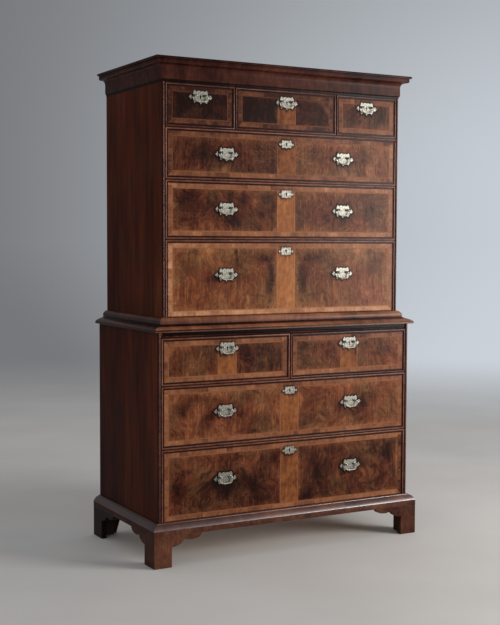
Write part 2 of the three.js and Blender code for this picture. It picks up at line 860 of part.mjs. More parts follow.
function addDividers(parent, place, rows, heights, caseFloor, inner, front) {
  for (let row = 1; row < rows.length; row += 1) {
    const bottom = rowFloor(caseFloor, heights, row) - railFace
    const uprightTop = bottom + rowPitch(heights[row])
    const geometry = divider(inner, front, bottom, rows[row], uprightTop)
    parent.add(node(`${place}_divider_${rows.length - row}`, geometry, walnutMoulding()))
  }
}

function lowerCase() {
  const group = new THREE.Group()
  const beads = [lowerFloor, lowerCaseTop - waistDrop]
  const sideOf = (side) => caseSide(
    side, lowerHalf, lowerSideThickness, frontY, [baseSeat, lowerCaseTop], beads)
  group.add(node('foot_front_left', frontFoot(-1), walnutMoulding()))
  group.add(node('foot_front_right', frontFoot(1), walnutMoulding()))
  group.add(node('foot_back_left', backFoot(-1), walnutMoulding()))
  group.add(node('foot_back_right', backFoot(1), walnutMoulding()))
  group.add(node('base_moulding', baseMoulding(), walnutMoulding()))
  group.add(node('lower_side_left', sideOf(-1), walnutSide()))
  group.add(node('lower_side_right', sideOf(1), walnutSide()))
  group.add(node('lower_back', caseBack(lowerInner, baseSeat, lowerCaseTop), pine()))
  group.add(node('waist_moulding', waistMoulding(), walnutMoulding()))
  addDividers(group, 'lower', lowerRows, lowerRowHeights, lowerFloor, lowerInner, frontY)
  fillCase(group, lowerRows, lowerRowHeights, lowerFloor, frontY, lowerHandleSpacing, lowerHandleRises)
  return group
}

function upperCase() {
  const group = new THREE.Group()
  group.position.set(0, 0, lowerCaseTop)
  const beads = [waistTop, friezeBottom + corniceReveal]
  const sideOf = (side) => caseSide(
    side, upperHalf, upperSideThickness, upperFrontY, [0, upperCaseTop], beads)
  group.add(node('upper_side_left', sideOf(-1), walnutSide()))
  group.add(node('upper_side_right', sideOf(1), walnutSide()))
  group.add(node('upper_bottom_board', upperBottomBoard(), pine()))
  group.add(node('upper_top_board', upperTopBoard(), walnutMoulding()))
  group.add(node('upper_back', caseBack(upperInner, 0, upperCaseTop), pine()))
  group.add(node('cornice', cornice(), walnutMoulding()))
  addDividers(group, 'upper', upperRows, upperRowHeights, upperFloor, upperInner, upperFrontY)
  fillCase(group, upperRows, upperRowHeights, upperFloor, upperFrontY, upperHandleSpacing, upperHandleRises)
  return group
}

const chestOnChest = new THREE.Group()
chestOnChest.add(lowerCase(), upperCase())

export default chestOnChest
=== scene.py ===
"""Walnut chest on chest of about 1715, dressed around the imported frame. Metres, +Z up, the front faces -Y."""

import math

import bmesh
import bpy
from mathutils import Matrix, Vector, noise
from mathutils.geometry import tessellate_polygon

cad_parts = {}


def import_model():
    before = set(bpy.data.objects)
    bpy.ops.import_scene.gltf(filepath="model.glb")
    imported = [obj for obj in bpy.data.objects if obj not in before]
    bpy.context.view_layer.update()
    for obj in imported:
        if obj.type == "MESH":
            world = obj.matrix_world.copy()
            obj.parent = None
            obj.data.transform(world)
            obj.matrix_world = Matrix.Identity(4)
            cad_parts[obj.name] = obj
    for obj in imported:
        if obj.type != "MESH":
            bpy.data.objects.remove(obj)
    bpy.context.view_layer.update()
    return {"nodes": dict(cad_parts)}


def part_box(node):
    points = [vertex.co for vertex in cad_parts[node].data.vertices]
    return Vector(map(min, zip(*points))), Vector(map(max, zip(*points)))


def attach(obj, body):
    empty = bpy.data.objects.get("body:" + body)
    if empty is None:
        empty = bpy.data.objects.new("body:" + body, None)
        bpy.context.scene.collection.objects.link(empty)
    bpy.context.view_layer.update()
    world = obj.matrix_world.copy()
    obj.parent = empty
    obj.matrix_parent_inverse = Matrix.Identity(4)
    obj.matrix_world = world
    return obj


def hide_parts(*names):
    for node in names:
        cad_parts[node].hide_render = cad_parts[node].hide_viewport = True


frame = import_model()

# Construction sizes that the frame's boxes don't give
RAIL_FACE = 0.0186
RAIL_DEPTH = 0.062
BOARD = 0.0186
DUSTBOARD = 0.008
RUNNER = 0.044
STOP_WIDTH = 0.044
STOP_DEPTH = 0.016
STOP_HEIGHT = 0.005
BEAD_HEIGHT = 0.0032
BEAD_QUIRK = 0.0011
BEAD_BACKING = 0.003
BEAD_STEPS = 10
CURVE_STEPS = 8
LONG_CURVE = 12
NOSE_CURVE = 10
SHORT_CURVE = 5
TIGHT_CURVE = 4
DRAWER_GAP = 0.0012
RUNNING_GAP = 0.0003
FRONT_THICKNESS = 0.021
VENEER = 0.0009
SIDE_THICKNESS = 0.010
DRAWER_BACK = 0.009
BOTTOM_THICKNESS = 0.007
BOTTOM_RAISE = 0.007
PLANK_WIDTH = 0.24
SIDE_DROP = 0.009
BACK_DROP = 0.016
TAIL_PITCH = 0.042
TAIL_FLARE = 0.0035
TAIL_SHARES = (0.2, 0.8)
LAP = 0.006
REBATE = 0.009
EASE = 0.0006
BEVEL_SEGMENTS = 2
SHARP_ANGLE = 32
MOULD_ANGLE = 25
METAL_ANGLE = 40
MERGE_DIGITS = 7
EDGE_DIGITS = 6

# Places read from the frame
LOWER_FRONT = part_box("drawer_lower_left")[0].y
UPPER_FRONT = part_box("drawer_upper_left")[0].y
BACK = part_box("lower_back")[1].y
BACK_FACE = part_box("lower_back")[0].y
LOWER_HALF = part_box("lower_side_right")[1].x
LOWER_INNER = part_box("lower_side_right")[0].x
UPPER_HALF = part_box("upper_side_right")[1].x
UPPER_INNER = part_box("upper_side_right")[0].x
CASE_STEP = LOWER_HALF - UPPER_HALF
FOOT_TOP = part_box("foot_front_left")[1].z
BASE_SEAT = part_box("lower_side_right")[0].z
LOWER_FLOOR = BASE_SEAT + BOARD
LOWER_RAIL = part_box("waist_moulding")[0].z
LOWER_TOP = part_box("lower_side_right")[1].z
WAIST_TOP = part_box("waist_moulding")[1].z
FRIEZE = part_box("upper_top_board")[0].z
UPPER_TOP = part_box("upper_side_right")[1].z
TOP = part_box("cornice")[1].z
BASE_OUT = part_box("base_moulding")[1].x - LOWER_HALF
WAIST_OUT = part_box("waist_moulding")[1].x - LOWER_HALF
CORNICE_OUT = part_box("cornice")[1].x - UPPER_HALF

LOWER_ROWS = [["lower_long_2"], ["lower_long_1"], ["lower_left", "lower_right"]]
UPPER_ROWS = [["upper_long_3"], ["upper_long_2"], ["upper_long_1"],
              ["upper_left", "upper_middle", "upper_right"]]


# Meshes
class Shape:
    """Points and faces of one piece; each corner has a grain place in metres, a tone and a board number."""

    def __init__(self):
        self.points = []
        self.faces = []
        self.maps = []
        self.tones = []
        self.boards = []
        self.looks = []
        self.board_count = 0

    def add(self, points, faces, maps=None, looks=None, tones=None):
        """Adds faces of one board; maps and tones hold a value for each corner of each face."""
        first = len(self.points)
        self.board_count += 1
        self.points += [tuple(point) for point in points]
        for number, face in enumerate(faces):
            self.faces.append([first + corner for corner in face])
            self.maps.append(maps[number] if maps else [(0.0, 0.0)] * len(face))
            self.tones.append(tones[number] if tones else [0.0] * len(face))
            self.boards.append([float(self.board_count)] * len(face))
            self.looks.append(looks[number] if looks else 0)


def board(shape, low, high, look=0):
    """A board with square corners; the bevel that eases its edges comes with the piece."""
    points = [(x, y, z) for x in (low[0], high[0]) for y in (low[1], high[1]) for z in (low[2], high[2])]
    faces = [(0, 1, 3, 2), (4, 6, 7, 5), (0, 4, 5, 1), (2, 3, 7, 6), (0, 2, 6, 4), (1, 5, 7, 3)]
    shape.add(points, faces, None, [look] * len(faces))


def cross_board(shape, half, ys, zs, look=0):
    """A board that reaches as far to the left of the middle as to the right."""
    board(shape, (-half, ys[0], zs[0]), (half, ys[1], zs[1]), look)


def add_outward(shape, points, faces, maps, looks, tones=None):
    """Adds a closed skin with its faces turned outward."""
    mesh = bmesh.new()
    made = [mesh.verts.new(point) for point in points]
    index_of = {vert: index for index, vert in enumerate(made)}
    kept = [mesh.faces.new([made[corner] for corner in face]) for face in faces]
    bmesh.ops.recalc_face_normals(mesh, faces=kept)
    orders = [[index_of[vert] for vert in face.verts] for face in kept]
    mesh.free()
    turned_maps, turned_tones = [], []
    for number, (face, order) in enumerate(zip(faces, orders)):
        places = [list(face).index(corner) for corner in order]
        turned_maps.append([maps[number][place] for place in places])
        turned_tones.append([tones[number][place] if tones else 0.0 for place in places])
    shape.add(points, orders, turned_maps, looks, turned_tones)


def caps_of(loops):
    """Triangles that fill flat loops, as places in the list of all their points."""
    return [list(cap) for cap in tessellate_polygon([[Vector((a, b, 0)) for a, b in loop] for loop in loops])]


def prism(shape, outline, place, low, high, look=0, hole=(), wall_look=None, tone_at=None):
    """An outline of (a, b) pairs, with or without a hole, carried from low to high by place(a, b, reach).
    Where it is given, tone_at(point) is the tone of each corner."""
    loops = [list(outline)] + ([list(hole)] if hole else [])
    flat = [pair for loop in loops for pair in loop]
    count = len(flat)
    points = [place(a, b, low) for a, b in flat] + [place(a, b, high) for a, b in flat]
    caps = caps_of(loops) if hole else [list(range(count))]
    faces = caps + [[corner + count for corner in reversed(cap)] for cap in caps]
    maps = [[flat[corner % count] for corner in face] for face in faces]
    looks = [look] * len(faces)
    first = 0
    for loop in loops:
        walked = 0.0
        for index in range(len(loop)):
            after = (index + 1) % len(loop)
            length = math.dist(loop[index], loop[after])
            here, there = first + index, first + after
            faces.append([there, here, here + count, there + count])
            maps.append([(walked + length, low), (walked, low), (walked, high), (walked + length, high)])
            looks.append(look if wall_look is None else wall_look)
            walked += length
        first += len(loop)
    tones = [[tone_at(points[corner]) for corner in face] for face in faces] if tone_at else None
    add_outward(shape, points, faces, maps, looks, tones)


def loft(shape, rings, looks=None, loop=False, tones=None, run_tones=None):
    """Rings of equal length joined into a closed skin, with the grain across the run.
    Looks and tones hold one value for each place round the ring, and run_tones one for each run of rings."""
    count = len(rings[0])
    looks = looks or [0] * count
    tones = tones or [0.0] * count
    run_tones = run_tones or [0.0] * len(rings)
    around = [0.0]
    for index in range(count):
        around.append(around[-1] + math.dist(rings[0][index], rings[0][(index + 1) % count]))
    faces, maps, face_looks, face_tones = [], [], [], []
    for ring in range(len(rings) if loop else len(rings) - 1):
        next_ring = (ring + 1) % len(rings)
        here, there = rings[ring], rings[next_ring]
        run = (middle_point(there) - middle_point(here)).normalized()
        for index in range(count):
            after = (index + 1) % count
            faces.append([ring * count + index, ring * count + after,
                          next_ring * count + after, next_ring * count + index])
            corners = [(here[index], index), (here[after], index + 1),
                       (there[after], index + 1), (there[index], index)]
            maps.append([(run.dot(Vector(point)), around[place]) for point, place in corners])
            face_looks.append(looks[index])
            near, far = tones[index] + run_tones[ring], tones[after] + run_tones[ring]
            face_tones.append([near, far, far, near])
    if not loop:
        last = (len(rings) - 1) * count
        faces += [list(range(count - 1, -1, -1)), list(range(last, last + count))]
        maps += [[(0.0, 0.0)] * count] * 2
        face_looks += [looks[0]] * 2
        face_tones += [[0.0] * count] * 2
    points = [tuple(point) for ring in rings for point in ring]
    add_outward(shape, points, faces, maps, face_looks, face_tones)


def middle_point(points):
    return sum((Vector(point) for point in points), Vector()) / len(points)


def turned(shape, profile, centre, sides):
    """A profile of (radius, reach) pairs turned about the line along y through its centre."""
    x, y, z = centre
    angles = [2 * math.pi * side / sides for side in range(sides)]
    loft(shape, [[(x + radius * math.cos(angle), y + reach, z + radius * math.sin(angle)) for angle in angles]
                 for radius, reach in profile])


def seen_from_front(x, z, y):
    """Where a prism's outline is drawn on the front, and reaches back."""
    return x, y, z


def seen_from_side(y, z, x):
    """Where a prism's outline is drawn on the side, and reaches across."""
    return x, y, z


def curve(start, control, end, steps=CURVE_STEPS):
    """Points along a quadratic curve after its start."""
    points = []
    for step in range(1, steps + 1):
        t = step / steps
        points.append(tuple((1 - t) ** 2 * a + 2 * t * (1 - t) * b + t * t * c
                            for a, b, c in zip(start, control, end)))
    return points


def new_mesh(name, points, faces, looks=()):
    mesh = bpy.data.meshes.new(name)
    mesh.from_pydata(points, [], faces)
    for look in looks:
        mesh.materials.append(look)
    return mesh


def new_object(name, data):
    obj = bpy.data.objects.new(name, data)
    bpy.context.scene.collection.objects.link(obj)
    return obj


def piece(shape, name, body, looks, replaces=(), bevel=0.0, sharp=SHARP_ANGLE, shade=0.0):
    """Makes the object, eases its edges and tells the frame what it rides on and stands for.
    With sharp at 0 every face is flat; the shade is added to its tones."""
    mesh = new_mesh(name, shape.points, shape.faces, looks)
    grain = mesh.uv_layers.new(name="Grain")
    grain.data.foreach_set("uv", [value for pairs in shape.maps for pair in pairs for value in pair])
    for layer, values in (("Tone", shape.tones), ("Board", shape.boards)):
        attribute = mesh.attributes.new(layer, "FLOAT", "CORNER")
        added = shade if layer == "Tone" else 0.0
        attribute.data.foreach_set("value", [value + added for corners in values for value in corners])
    mesh.polygons.foreach_set("material_index", shape.looks)
    mesh.polygons.foreach_set("use_smooth", [sharp > 0] * len(mesh.polygons))
    if sharp and not bevel:
        mesh.set_sharp_from_angle(angle=math.radians(sharp))
    mesh.update()
    obj = new_object(name, mesh)
    if bevel:
        ease(obj, bevel, sharp)
    settle(obj, body, replaces)
    return obj


def ease(obj, width, sharp):
    bevel = obj.modifiers.new("Ease", "BEVEL")
    bevel.width = width
    bevel.segments = BEVEL_SEGMENTS
    bevel.limit_method = "ANGLE"
    bevel.angle_limit = math.radians(sharp)
    bevel.harden_normals = True


def settle(obj, body, replaces):
    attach(obj, body)
    if replaces:
        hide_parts(*replaces)


# Materials
MIDDLE = 0.5
SRGB_KNEE = 0.04045
SRGB_SLOPE = 12.92
SRGB_LIFT = 0.055
SRGB_POWER = 2.4


def tone(red, green, blue):
    """An sRGB colour of 0 to 255 as the linear colour that the shaders take."""
    shares = [value / 255 for value in (red, green, blue)]
    return tuple(share / SRGB_SLOPE if share <= SRGB_KNEE
                 else ((share + SRGB_LIFT) / (1 + SRGB_LIFT)) ** SRGB_POWER for share in shares) + (1.0,)


def even_stops(*colours):
    return [(index / (len(colours) - 1), tone(*colour)) for index, colour in enumerate(colours)]


class Nodes:
    """A node tree, built by short calls; any input takes a number, a tuple or a socket.
    The scales of a noise are across and along the grain."""

    def __init__(self, owner):
        owner.use_nodes = True
        self.tree = owner.node_tree

    def put(self, socket, value):
        if isinstance(value, bpy.types.NodeSocket):
            self.tree.links.new(value, socket)
        elif value is not None:
            socket.default_value = value

    def add(self, kind, values=None, **settings):
        node = self.tree.nodes.new("ShaderNode" + kind)
        for key, value in settings.items():
            setattr(node, key, value)
        for key, value in (values or {}).items():
            self.put(node.inputs[key], value)
        return node

    def math(self, operation, a, b=None, clamp=False):
        return self.add("Math", {0: a, 1: b}, operation=operation, use_clamp=clamp).outputs[0]

    def total(self, first, *others):
        for value in others:
            first = self.math("ADD", first, value)
        return first

    def vector(self, operation, a, b=None):
        return self.add("VectorMath", {0: a, 1: b}, operation=operation).outputs[0]

    def parts(self, place):
        return self.add("SeparateXYZ", {0: place}).outputs

    def coordinates(self, kind="Object"):
        return self.add("TexCoord").outputs[kind]

    def noise(self, place, scales, detail=2.0, rough=MIDDLE, output="Fac"):
        across, along = scales
        values = {"Vector": self.vector("MULTIPLY", place, (across, along, across)), "Scale": 1.0,
                  "Detail": detail, "Roughness": rough}
        return self.add("TexNoise", values).outputs[output]

    def swing(self, place, scales, strength, detail=2.0):
        """Noise about zero, times a strength."""
        centred = self.math("SUBTRACT", self.noise(place, scales, detail), MIDDLE)
        return self.math("MULTIPLY", centred, strength)

    def spread(self, value, low, high, to_low=0.0, to_high=1.0, ease="LINEAR"):
        values = {0: value, 1: low, 2: high, 3: to_low, 4: to_high}
        return self.add("MapRange", values, clamp=True, interpolation_type=ease).outputs[0]

    def ramp(self, factor, stops):
        node = self.add("ValToRGB", {0: factor})
        points = node.color_ramp.elements
        while len(points) < len(stops):
            points.new(1.0)
        for point, (place, colour) in zip(points, stops):
            point.position = place
            point.color = colour
        return node.outputs[0]

    def mix(self, factor, a, b):
        """The sockets 0, 6, 7 and 2 of a colour mix are its factor, its two colours and its result."""
        return self.add("Mix", {0: factor, 6: a, 7: b}, data_type="RGBA").outputs[2]

    def blend(self, factor, a, b):
        return self.add("MixShader", {0: factor, 1: a, 2: b}).outputs[0]

    def attribute(self, name):
        return self.add("Attribute", attribute_name=name).outputs["Fac"]

    def shifted(self, place, amount):
        return self.vector("ADD", place, self.add("CombineXYZ", {0: amount, 1: amount, 2: amount}).outputs[0])

    def bent(self, place, scale_across, scale_along, reach_across, reach_along):
        """The place moved by soft noise, so that what is drawn at it swirls."""
        colour = self.noise(place, (scale_across, scale_along), output="Color")
        centred = self.vector("SUBTRACT", colour, (MIDDLE, MIDDLE, MIDDLE))
        moved = self.vector("MULTIPLY", centred, (reach_across, reach_along, reach_across))
        return self.vector("ADD", place, moved)

    def seen(self):
        """1 for rays from the camera, mirrors and glass, and 0 for the light that falls on surfaces."""
        rays = self.add("LightPath").outputs
        indirect = self.math("MAXIMUM", rays["Is Glossy Ray"], rays["Is Transmission Ray"])
        return self.math("MAXIMUM", rays["Is Camera Ray"], indirect)

    def wall(self, toward):
        """The grey of the surround, paler to the right."""
        return self.mix(self.spread(toward, *WALL_REACH, ease="SMOOTHSTEP"), WALL_DARK, WALL_PALE)


class Surface(Nodes):
    """A material's node tree."""

    def __init__(self, name, metallic=0.0, specular=MIDDLE):
        self.material = bpy.data.materials.new(name)
        super().__init__(self.material)
        self.shader = self.tree.nodes["Principled BSDF"]
        self.shader.inputs["Metallic"].default_value = metallic
        self.shader.inputs["Specular IOR Level"].default_value = specular

    def grain_place(self, axis):
        """Across the grain, along it, and depth: from the grain map, or from the solid board."""
        if axis is None:
            return self.add("UVMap", uv_map="Grain").outputs[0]
        parts = self.parts(self.coordinates())
        order = {"x": (1, 0, 2), "y": (0, 1, 2), "z": (0, 2, 1)}[axis]
        return self.add("CombineXYZ", dict(enumerate(parts[index] for index in order))).outputs[0]

    def finish(self, colour, roughness, height, strength, distance):
        self.put(self.shader.inputs["Base Color"], colour)
        self.put(self.shader.inputs["Roughness"], roughness)
        bump = self.add("Bump", {"Strength": strength, "Distance": distance, "Height": height})
        self.put(self.shader.inputs["Normal"], bump.outputs[0])
        return self.material


# What all woods share: how far each board and leaf is moved in the noise, the patches of a second hue and of
# growth lines, the streaks beside these lines, the pores, and the spread of the roughness
BOARD_STEP = 0.731
LEAF_STEP = 37.0
LEAVES_OF_A_BOARD = 31.0
HUE_SHIFT = 5.3
HUE_SCALES = (10, 8)
HUE_EDGES = (0.40, 0.60)
LINE_SHIFT = 9.1
LINE_SCALES = (14, 10)
LINE_EDGES = (0.46, 0.64)
STREAK_SCALES = (230, 7)
PORE_SCALES = (1100, 26)
PORE_EDGES = (0.58, 0.74)
PORE_STRENGTH = 0.3
FINE_DETAIL = 3.0
ROUGH_NOISE = 0.6
GLOSS_EDGES = (0.2, 0.8)
FIGURE_HEIGHT = 1.2
WOOD_RELIEF = 0.0004
WOOD_GLOSS = (0.34, 0.46)
WOOD_BUMP = 0.12


def wood(name, stops, bend, specular, other=None, axis=None, layers=(), leaf=None, gloss=WOOD_GLOSS,
         bump=WOOD_BUMP, rings=None):
    """Wood whose tone runs through stops, or through the stops of another hue in patches.
    Bend is (scale across, scale along, reach across, reach along) of the noise that swirls the figure.
    Each layer is (scale across, scale along, strength, detail) of noise. Leaf is the width of a leaf of
    veneer and how far its tone may be off. Rings is the pitch and strength of lines that swirl with the
    grain and come and go, and the strength of the straight streaks that run with them."""
    g = Surface(name, specular=specular)
    place = g.grain_place(axis)
    own = g.attribute("Tone")
    if leaf:
        width, swing = leaf
        number = g.math("FLOOR", g.math("DIVIDE", g.parts(place)[0], width))
        number = g.math("ADD", number, g.math("MULTIPLY", g.attribute("Board"), LEAVES_OF_A_BOARD))
        chance = g.add("TexWhiteNoise", {"W": number}, noise_dimensions="1D").outputs["Value"]
        place = g.shifted(place, g.math("MULTIPLY", chance, LEAF_STEP))
        own = g.math("ADD", own, g.spread(chance, 0, 1, -swing, swing))
    else:
        place = g.shifted(place, g.math("MULTIPLY", g.attribute("Board"), BOARD_STEP))
    still = place
    place = g.bent(place, *bend)
    swings = [g.swing(place, (across, along), strength, detail) for across, along, strength, detail in layers]
    if rings:
        pitch, strength, streaks = rings
        turn = g.math("MULTIPLY", g.parts(place)[0], 2 * math.pi / pitch)
        patches = g.noise(g.shifted(still, LINE_SHIFT), LINE_SCALES, FINE_DETAIL)
        lines = g.math("MULTIPLY", g.math("SINE", turn), g.spread(patches, *LINE_EDGES, 0.0, strength))
        swings = [lines, g.swing(still, STREAK_SCALES, streaks), *swings]
    value = g.math("ADD", g.total(MIDDLE, *swings), own, clamp=True)
    colour = g.ramp(value, stops)
    if other:
        patches = g.noise(g.shifted(still, HUE_SHIFT), HUE_SCALES, FINE_DETAIL, ROUGH_NOISE)
        colour = g.mix(g.spread(patches, *HUE_EDGES), colour, g.ramp(value, other))
    pores = g.spread(g.noise(place, PORE_SCALES, 1.0), *PORE_EDGES, 0.0, PORE_STRENGTH)
    colour = g.mix(pores, colour, stops[0][1])
    height = g.math("SUBTRACT", g.math("MULTIPLY", swings[-1], FIGURE_HEIGHT), pores)
    return g.finish(colour, g.spread(value, *GLOSS_EDGES, *gloss), height, bump, WOOD_RELIEF)


PANEL = wood(
    "panel_veneer", even_stops((32, 11, 8), (63, 27, 17), (101, 55, 35), (136, 80, 50), (177, 116, 73)),
    (6, 6, 0.20, 0.16), 0.048,
    even_stops((28, 12, 8), (55, 30, 19), (93, 58, 37), (124, 83, 52), (162, 114, 73)),
    gloss=(0.30, 0.21), rings=(0.0105, 0.04, 0.32),
    layers=[(8, 6, 0.50, 3.0), (56, 15, 0.46, 3.0), (34, 26, 0.40, 3.0), (26, 110, 0.24, 3.0),
            (150, 40, 0.56, 3.0)])
BORDER = wood(
    "border_veneer", even_stops((50, 24, 17), (108, 65, 44), (146, 95, 65), (191, 141, 106)),
    (8, 8, 0.004, 0.01), 0.052, leaf=(0.093, 0.06), gloss=(0.30, 0.22),
    layers=[(9, 9, 0.7, 3.0), (26, 16, 0.6, 3.0), (90, 60, 0.5, 3.0), (240, 14, 0.3, 3.0)])
BAND = wood(
    "band_veneer", even_stops((60, 30, 16), (118, 68, 37), (152, 95, 56), (184, 124, 77)),
    (9, 6, 0.02, 0.03), 0.052, gloss=(0.30, 0.22),
    layers=[(14, 8, 0.7, 3.0), (60, 44, 0.7, 3.0), (260, 9, 0.4, 3.0)])
FEATHER = wood(
    "feather_veneer", even_stops((70, 36, 22), (126, 76, 48), (166, 114, 76)), (9, 6, 0.002, 0.002), 0.066,
    layers=[(500, 60, 0.8, 3.0)])
MOULD_STOPS = even_stops((16, 6, 5), (46, 21, 16), (78, 41, 30), (112, 66, 46), (158, 102, 70))
MOULD_LAYERS = [(18, 6, 0.45, 3.0), (60, 40, 0.36, 2.0), (170, 14, 0.26, 3.0)]
MOULD_LEAF = 0.117
MOULD_BEND = (8, 8, 0.008, 0.01)


def moulding(name, specular, gloss, leaf_swing):
    return wood(name, MOULD_STOPS, MOULD_BEND, specular, leaf=(MOULD_LEAF, leaf_swing), gloss=gloss,
                layers=MOULD_LAYERS)


def coated(material, weight, roughness):
    """Adds a thin coat of wax to a finished material."""
    inputs = material.node_tree.nodes["Principled BSDF"].inputs
    inputs["Coat Weight"].default_value = weight
    inputs["Coat Roughness"].default_value = roughness
    return material


MOULD = moulding("cross_walnut", 0.05, (0.24, 0.32), 0.10)
BEADS = moulding("bead_walnut", 0.15, (0.20, 0.32), 0.09)
WAIST = moulding("waist_walnut", 0.18, (0.24, 0.34), 0.12)
WORN = coated(moulding("worn_walnut", 1.0, (0.26, 0.42), 0.14), 0.2, 0.45)
SIDE = wood(
    "side_walnut", even_stops((34, 10, 7), (68, 26, 16), (99, 44, 26), (136, 68, 40)),
    (3, 1, 0.03, 0.1), 0.02, even_stops((32, 13, 8), (62, 29, 18), (92, 48, 29), (126, 72, 43)), "z",
    layers=[(9, 1.6, 0.7, 3.0), (26, 5, 0.50, 3.0), (60, 1.6, 0.44, 3.0), (340, 5, 0.5, 3.0)])
FOOT = wood(
    "foot_walnut", even_stops((28, 13, 10), (72, 41, 30), (108, 68, 50), (149, 101, 73)),
    (9, 9, 0.05, 0.05), 0.05,
    layers=[(12, 10, 0.6, 3.0), (60, 30, 0.5, 3.0), (200, 30, 0.3, 3.0)])
PINE_STOPS = even_stops((104, 68, 42), (144, 102, 66), (170, 128, 86), (188, 148, 104))
DARK_STOPS = even_stops((30, 20, 15), (52, 34, 24), (72, 48, 33), (92, 62, 42))
PINE_BEND = (2, 0.8, 0.03, 0.06)
PINE_SPECULAR = 0.2
PINE_GLOSS = (0.62, 0.78)
PINE_BUMP = 0.3
PINE_LAYERS = [(26, 0.8, 0.7, 2.0), (130, 1.6, 0.6, 3.0), (420, 6, 0.3, 2.0)]


def pine(name, axis, stops):
    return wood(name, stops, PINE_BEND, PINE_SPECULAR, axis=axis, layers=PINE_LAYERS, gloss=PINE_GLOSS,
                bump=PINE_BUMP)


PINES = {axis: pine("pine_" + axis, axis, PINE_STOPS) for axis in "xyz"}
# Dark old pine, which also stands as painted shade: on the glue blocks inside the feet and on the drawer
# fronts' edges
AGED_AND_SHADED_PINE = pine("aged_and_shaded_pine", "z", DARK_STOPS)


# What all metals share: the small dark spots in their clouded surface
SPOT_SCALE = 5
SPOT_EDGES = (0.58, 0.75)
SPOT_STRENGTH = 0.5
SPOT_HEIGHT = 0.4
CLOUD_EDGES = (0.3, 0.7)
METAL_RELIEF = 0.0006


def metal(name, stops, cloud_scale, gloss, spot_colour, bump, metallic):
    g = Surface(name, metallic=metallic)
    place = g.coordinates()
    cloud = g.noise(place, (cloud_scale, cloud_scale), FINE_DETAIL, ROUGH_NOISE)
    spot = g.noise(place, (cloud_scale * SPOT_SCALE, cloud_scale * SPOT_SCALE))
    colour = g.mix(g.spread(spot, *SPOT_EDGES, 0, SPOT_STRENGTH), g.ramp(cloud, stops), spot_colour)
    height = g.total(cloud, g.math("MULTIPLY", spot, SPOT_HEIGHT))
    return g.finish(colour, g.spread(cloud, *CLOUD_EDGES, *gloss), height, bump, METAL_RELIEF)


PLATE_BRASS = metal("plate_brass", [(0.3, tone(78, 75, 67)), (0.5, tone(112, 109, 100)),
                                    (0.7, tone(140, 137, 127))],
                    160, (0.46, 0.34), tone(48, 44, 37), 0.4, 0.75)
BAIL_BRASS = metal("bail_brass", [(0.3, tone(138, 133, 121)), (0.6, tone(170, 165, 152))],
                   200, (0.44, 0.36), tone(96, 89, 75), 0.15, 0.6)
IRON = metal("lock_iron", [(0.35, tone(66, 60, 56)), (0.55, tone(92, 88, 84)), (0.7, tone(110, 84, 66))],
             160, (0.4, 0.7), tone(48, 36, 30), 0.4, 0.9)


# Sections, as (distance out, height) pairs, or (distance along, height of the bead) pairs
FRAME_WIDTH = RAIL_FACE / 2
FRAME_BEAD = (RAIL_FACE - 3 * BEAD_QUIRK) / 2
FRIEZE_FACE = FRIEZE + FRAME_BEAD + 2 * BEAD_QUIRK
# Painted shade in the quirks beside the beads and on their flanks, as if in the shadow of the gaps
QUIRK_PAINTED_SHADE = -1.2
FLANK_PAINTED_SHADE = -0.30
BEAD_SHADE = 0.18
PALE_FRAMES = [row[0] for row in LOWER_ROWS + UPPER_ROWS[:-1]]
WAIST_SHADE = 0.16
# Tones across the waist moulding: painted shade under the nose and in its groove, painted light on the ovolo
# and the upper edge, and a nose edge pale from wear and painted highlight
NOSE_UNDERSIDE_SHADE = -0.14
NOSE_EDGE_WEAR_AND_HIGHLIGHT = 0.16
NOSE_TOP_TONE = -0.70
OVOLO_PAINTED_LIGHT = 0.22
OVOLO_LIGHT_SHARE = 0.9
WAIST_GROOVE_PAINTED_SHADE = -0.40
WAIST_EDGE_PAINTED_LIGHT = 0.22
# Painted shade on the waist moulding's sides, which face away from the light
WAIST_SIDE_PAINTED_SHADE = -0.36
# Painted shade on the flat rail faces under the waist moulding and under the frieze
RAIL_PAINTED_SHADE = -0.40
CORNICE_SHADE = -0.12
CROWN_TONE = -0.10
# Painted shade in the hollow at the foot of the frieze
FRIEZE_FOOT_PAINTED_SHADE = -0.35
# Painted shade and light on the case sides: darker to the back and low down behind, lighter at the top
SIDE_PAINTED_FALLOFF = 0.40
SIDE_TOP_PAINTED_LIGHT = 0.10
BASE_SHADE = 0.06
FASCIA_TONE = -0.19
# Painted shade on the base moulding's sides
BASE_SIDE_PAINTED_SHADE = -0.14


def bead(start, width):
    """A half-round bead over a width: pairs of place and height."""
    angles = [math.pi * step / BEAD_STEPS for step in range(BEAD_STEPS + 1)]
    return [(start + width * (1 - math.cos(angle)) / 2, BEAD_HEIGHT * math.sin(angle)) for angle in angles]


def tone_below(steps, height):
    """The tone of the first step, of (upper limit, tone), that a height lies in."""
    return next(value for limit, value in steps if height < limit)


def groove_painted_shade(line):
    """Painted shade in the grooves: darkest where the section lies at the face, less dark on the flanks, and
    none on the crests of the beads.
    """
    steps = [(BEAD_HEIGHT / 4, QUIRK_PAINTED_SHADE), (BEAD_HEIGHT * 3 / 4, FLANK_PAINTED_SHADE), (math.inf, 0.0)]
    return [tone_below(steps, height) for place, height in line]


def opening_of(name):
    low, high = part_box("drawer_" + name)
    return low.x - DRAWER_GAP, high.x + DRAWER_GAP, low.z - RUNNING_GAP, high.z + DRAWER_GAP


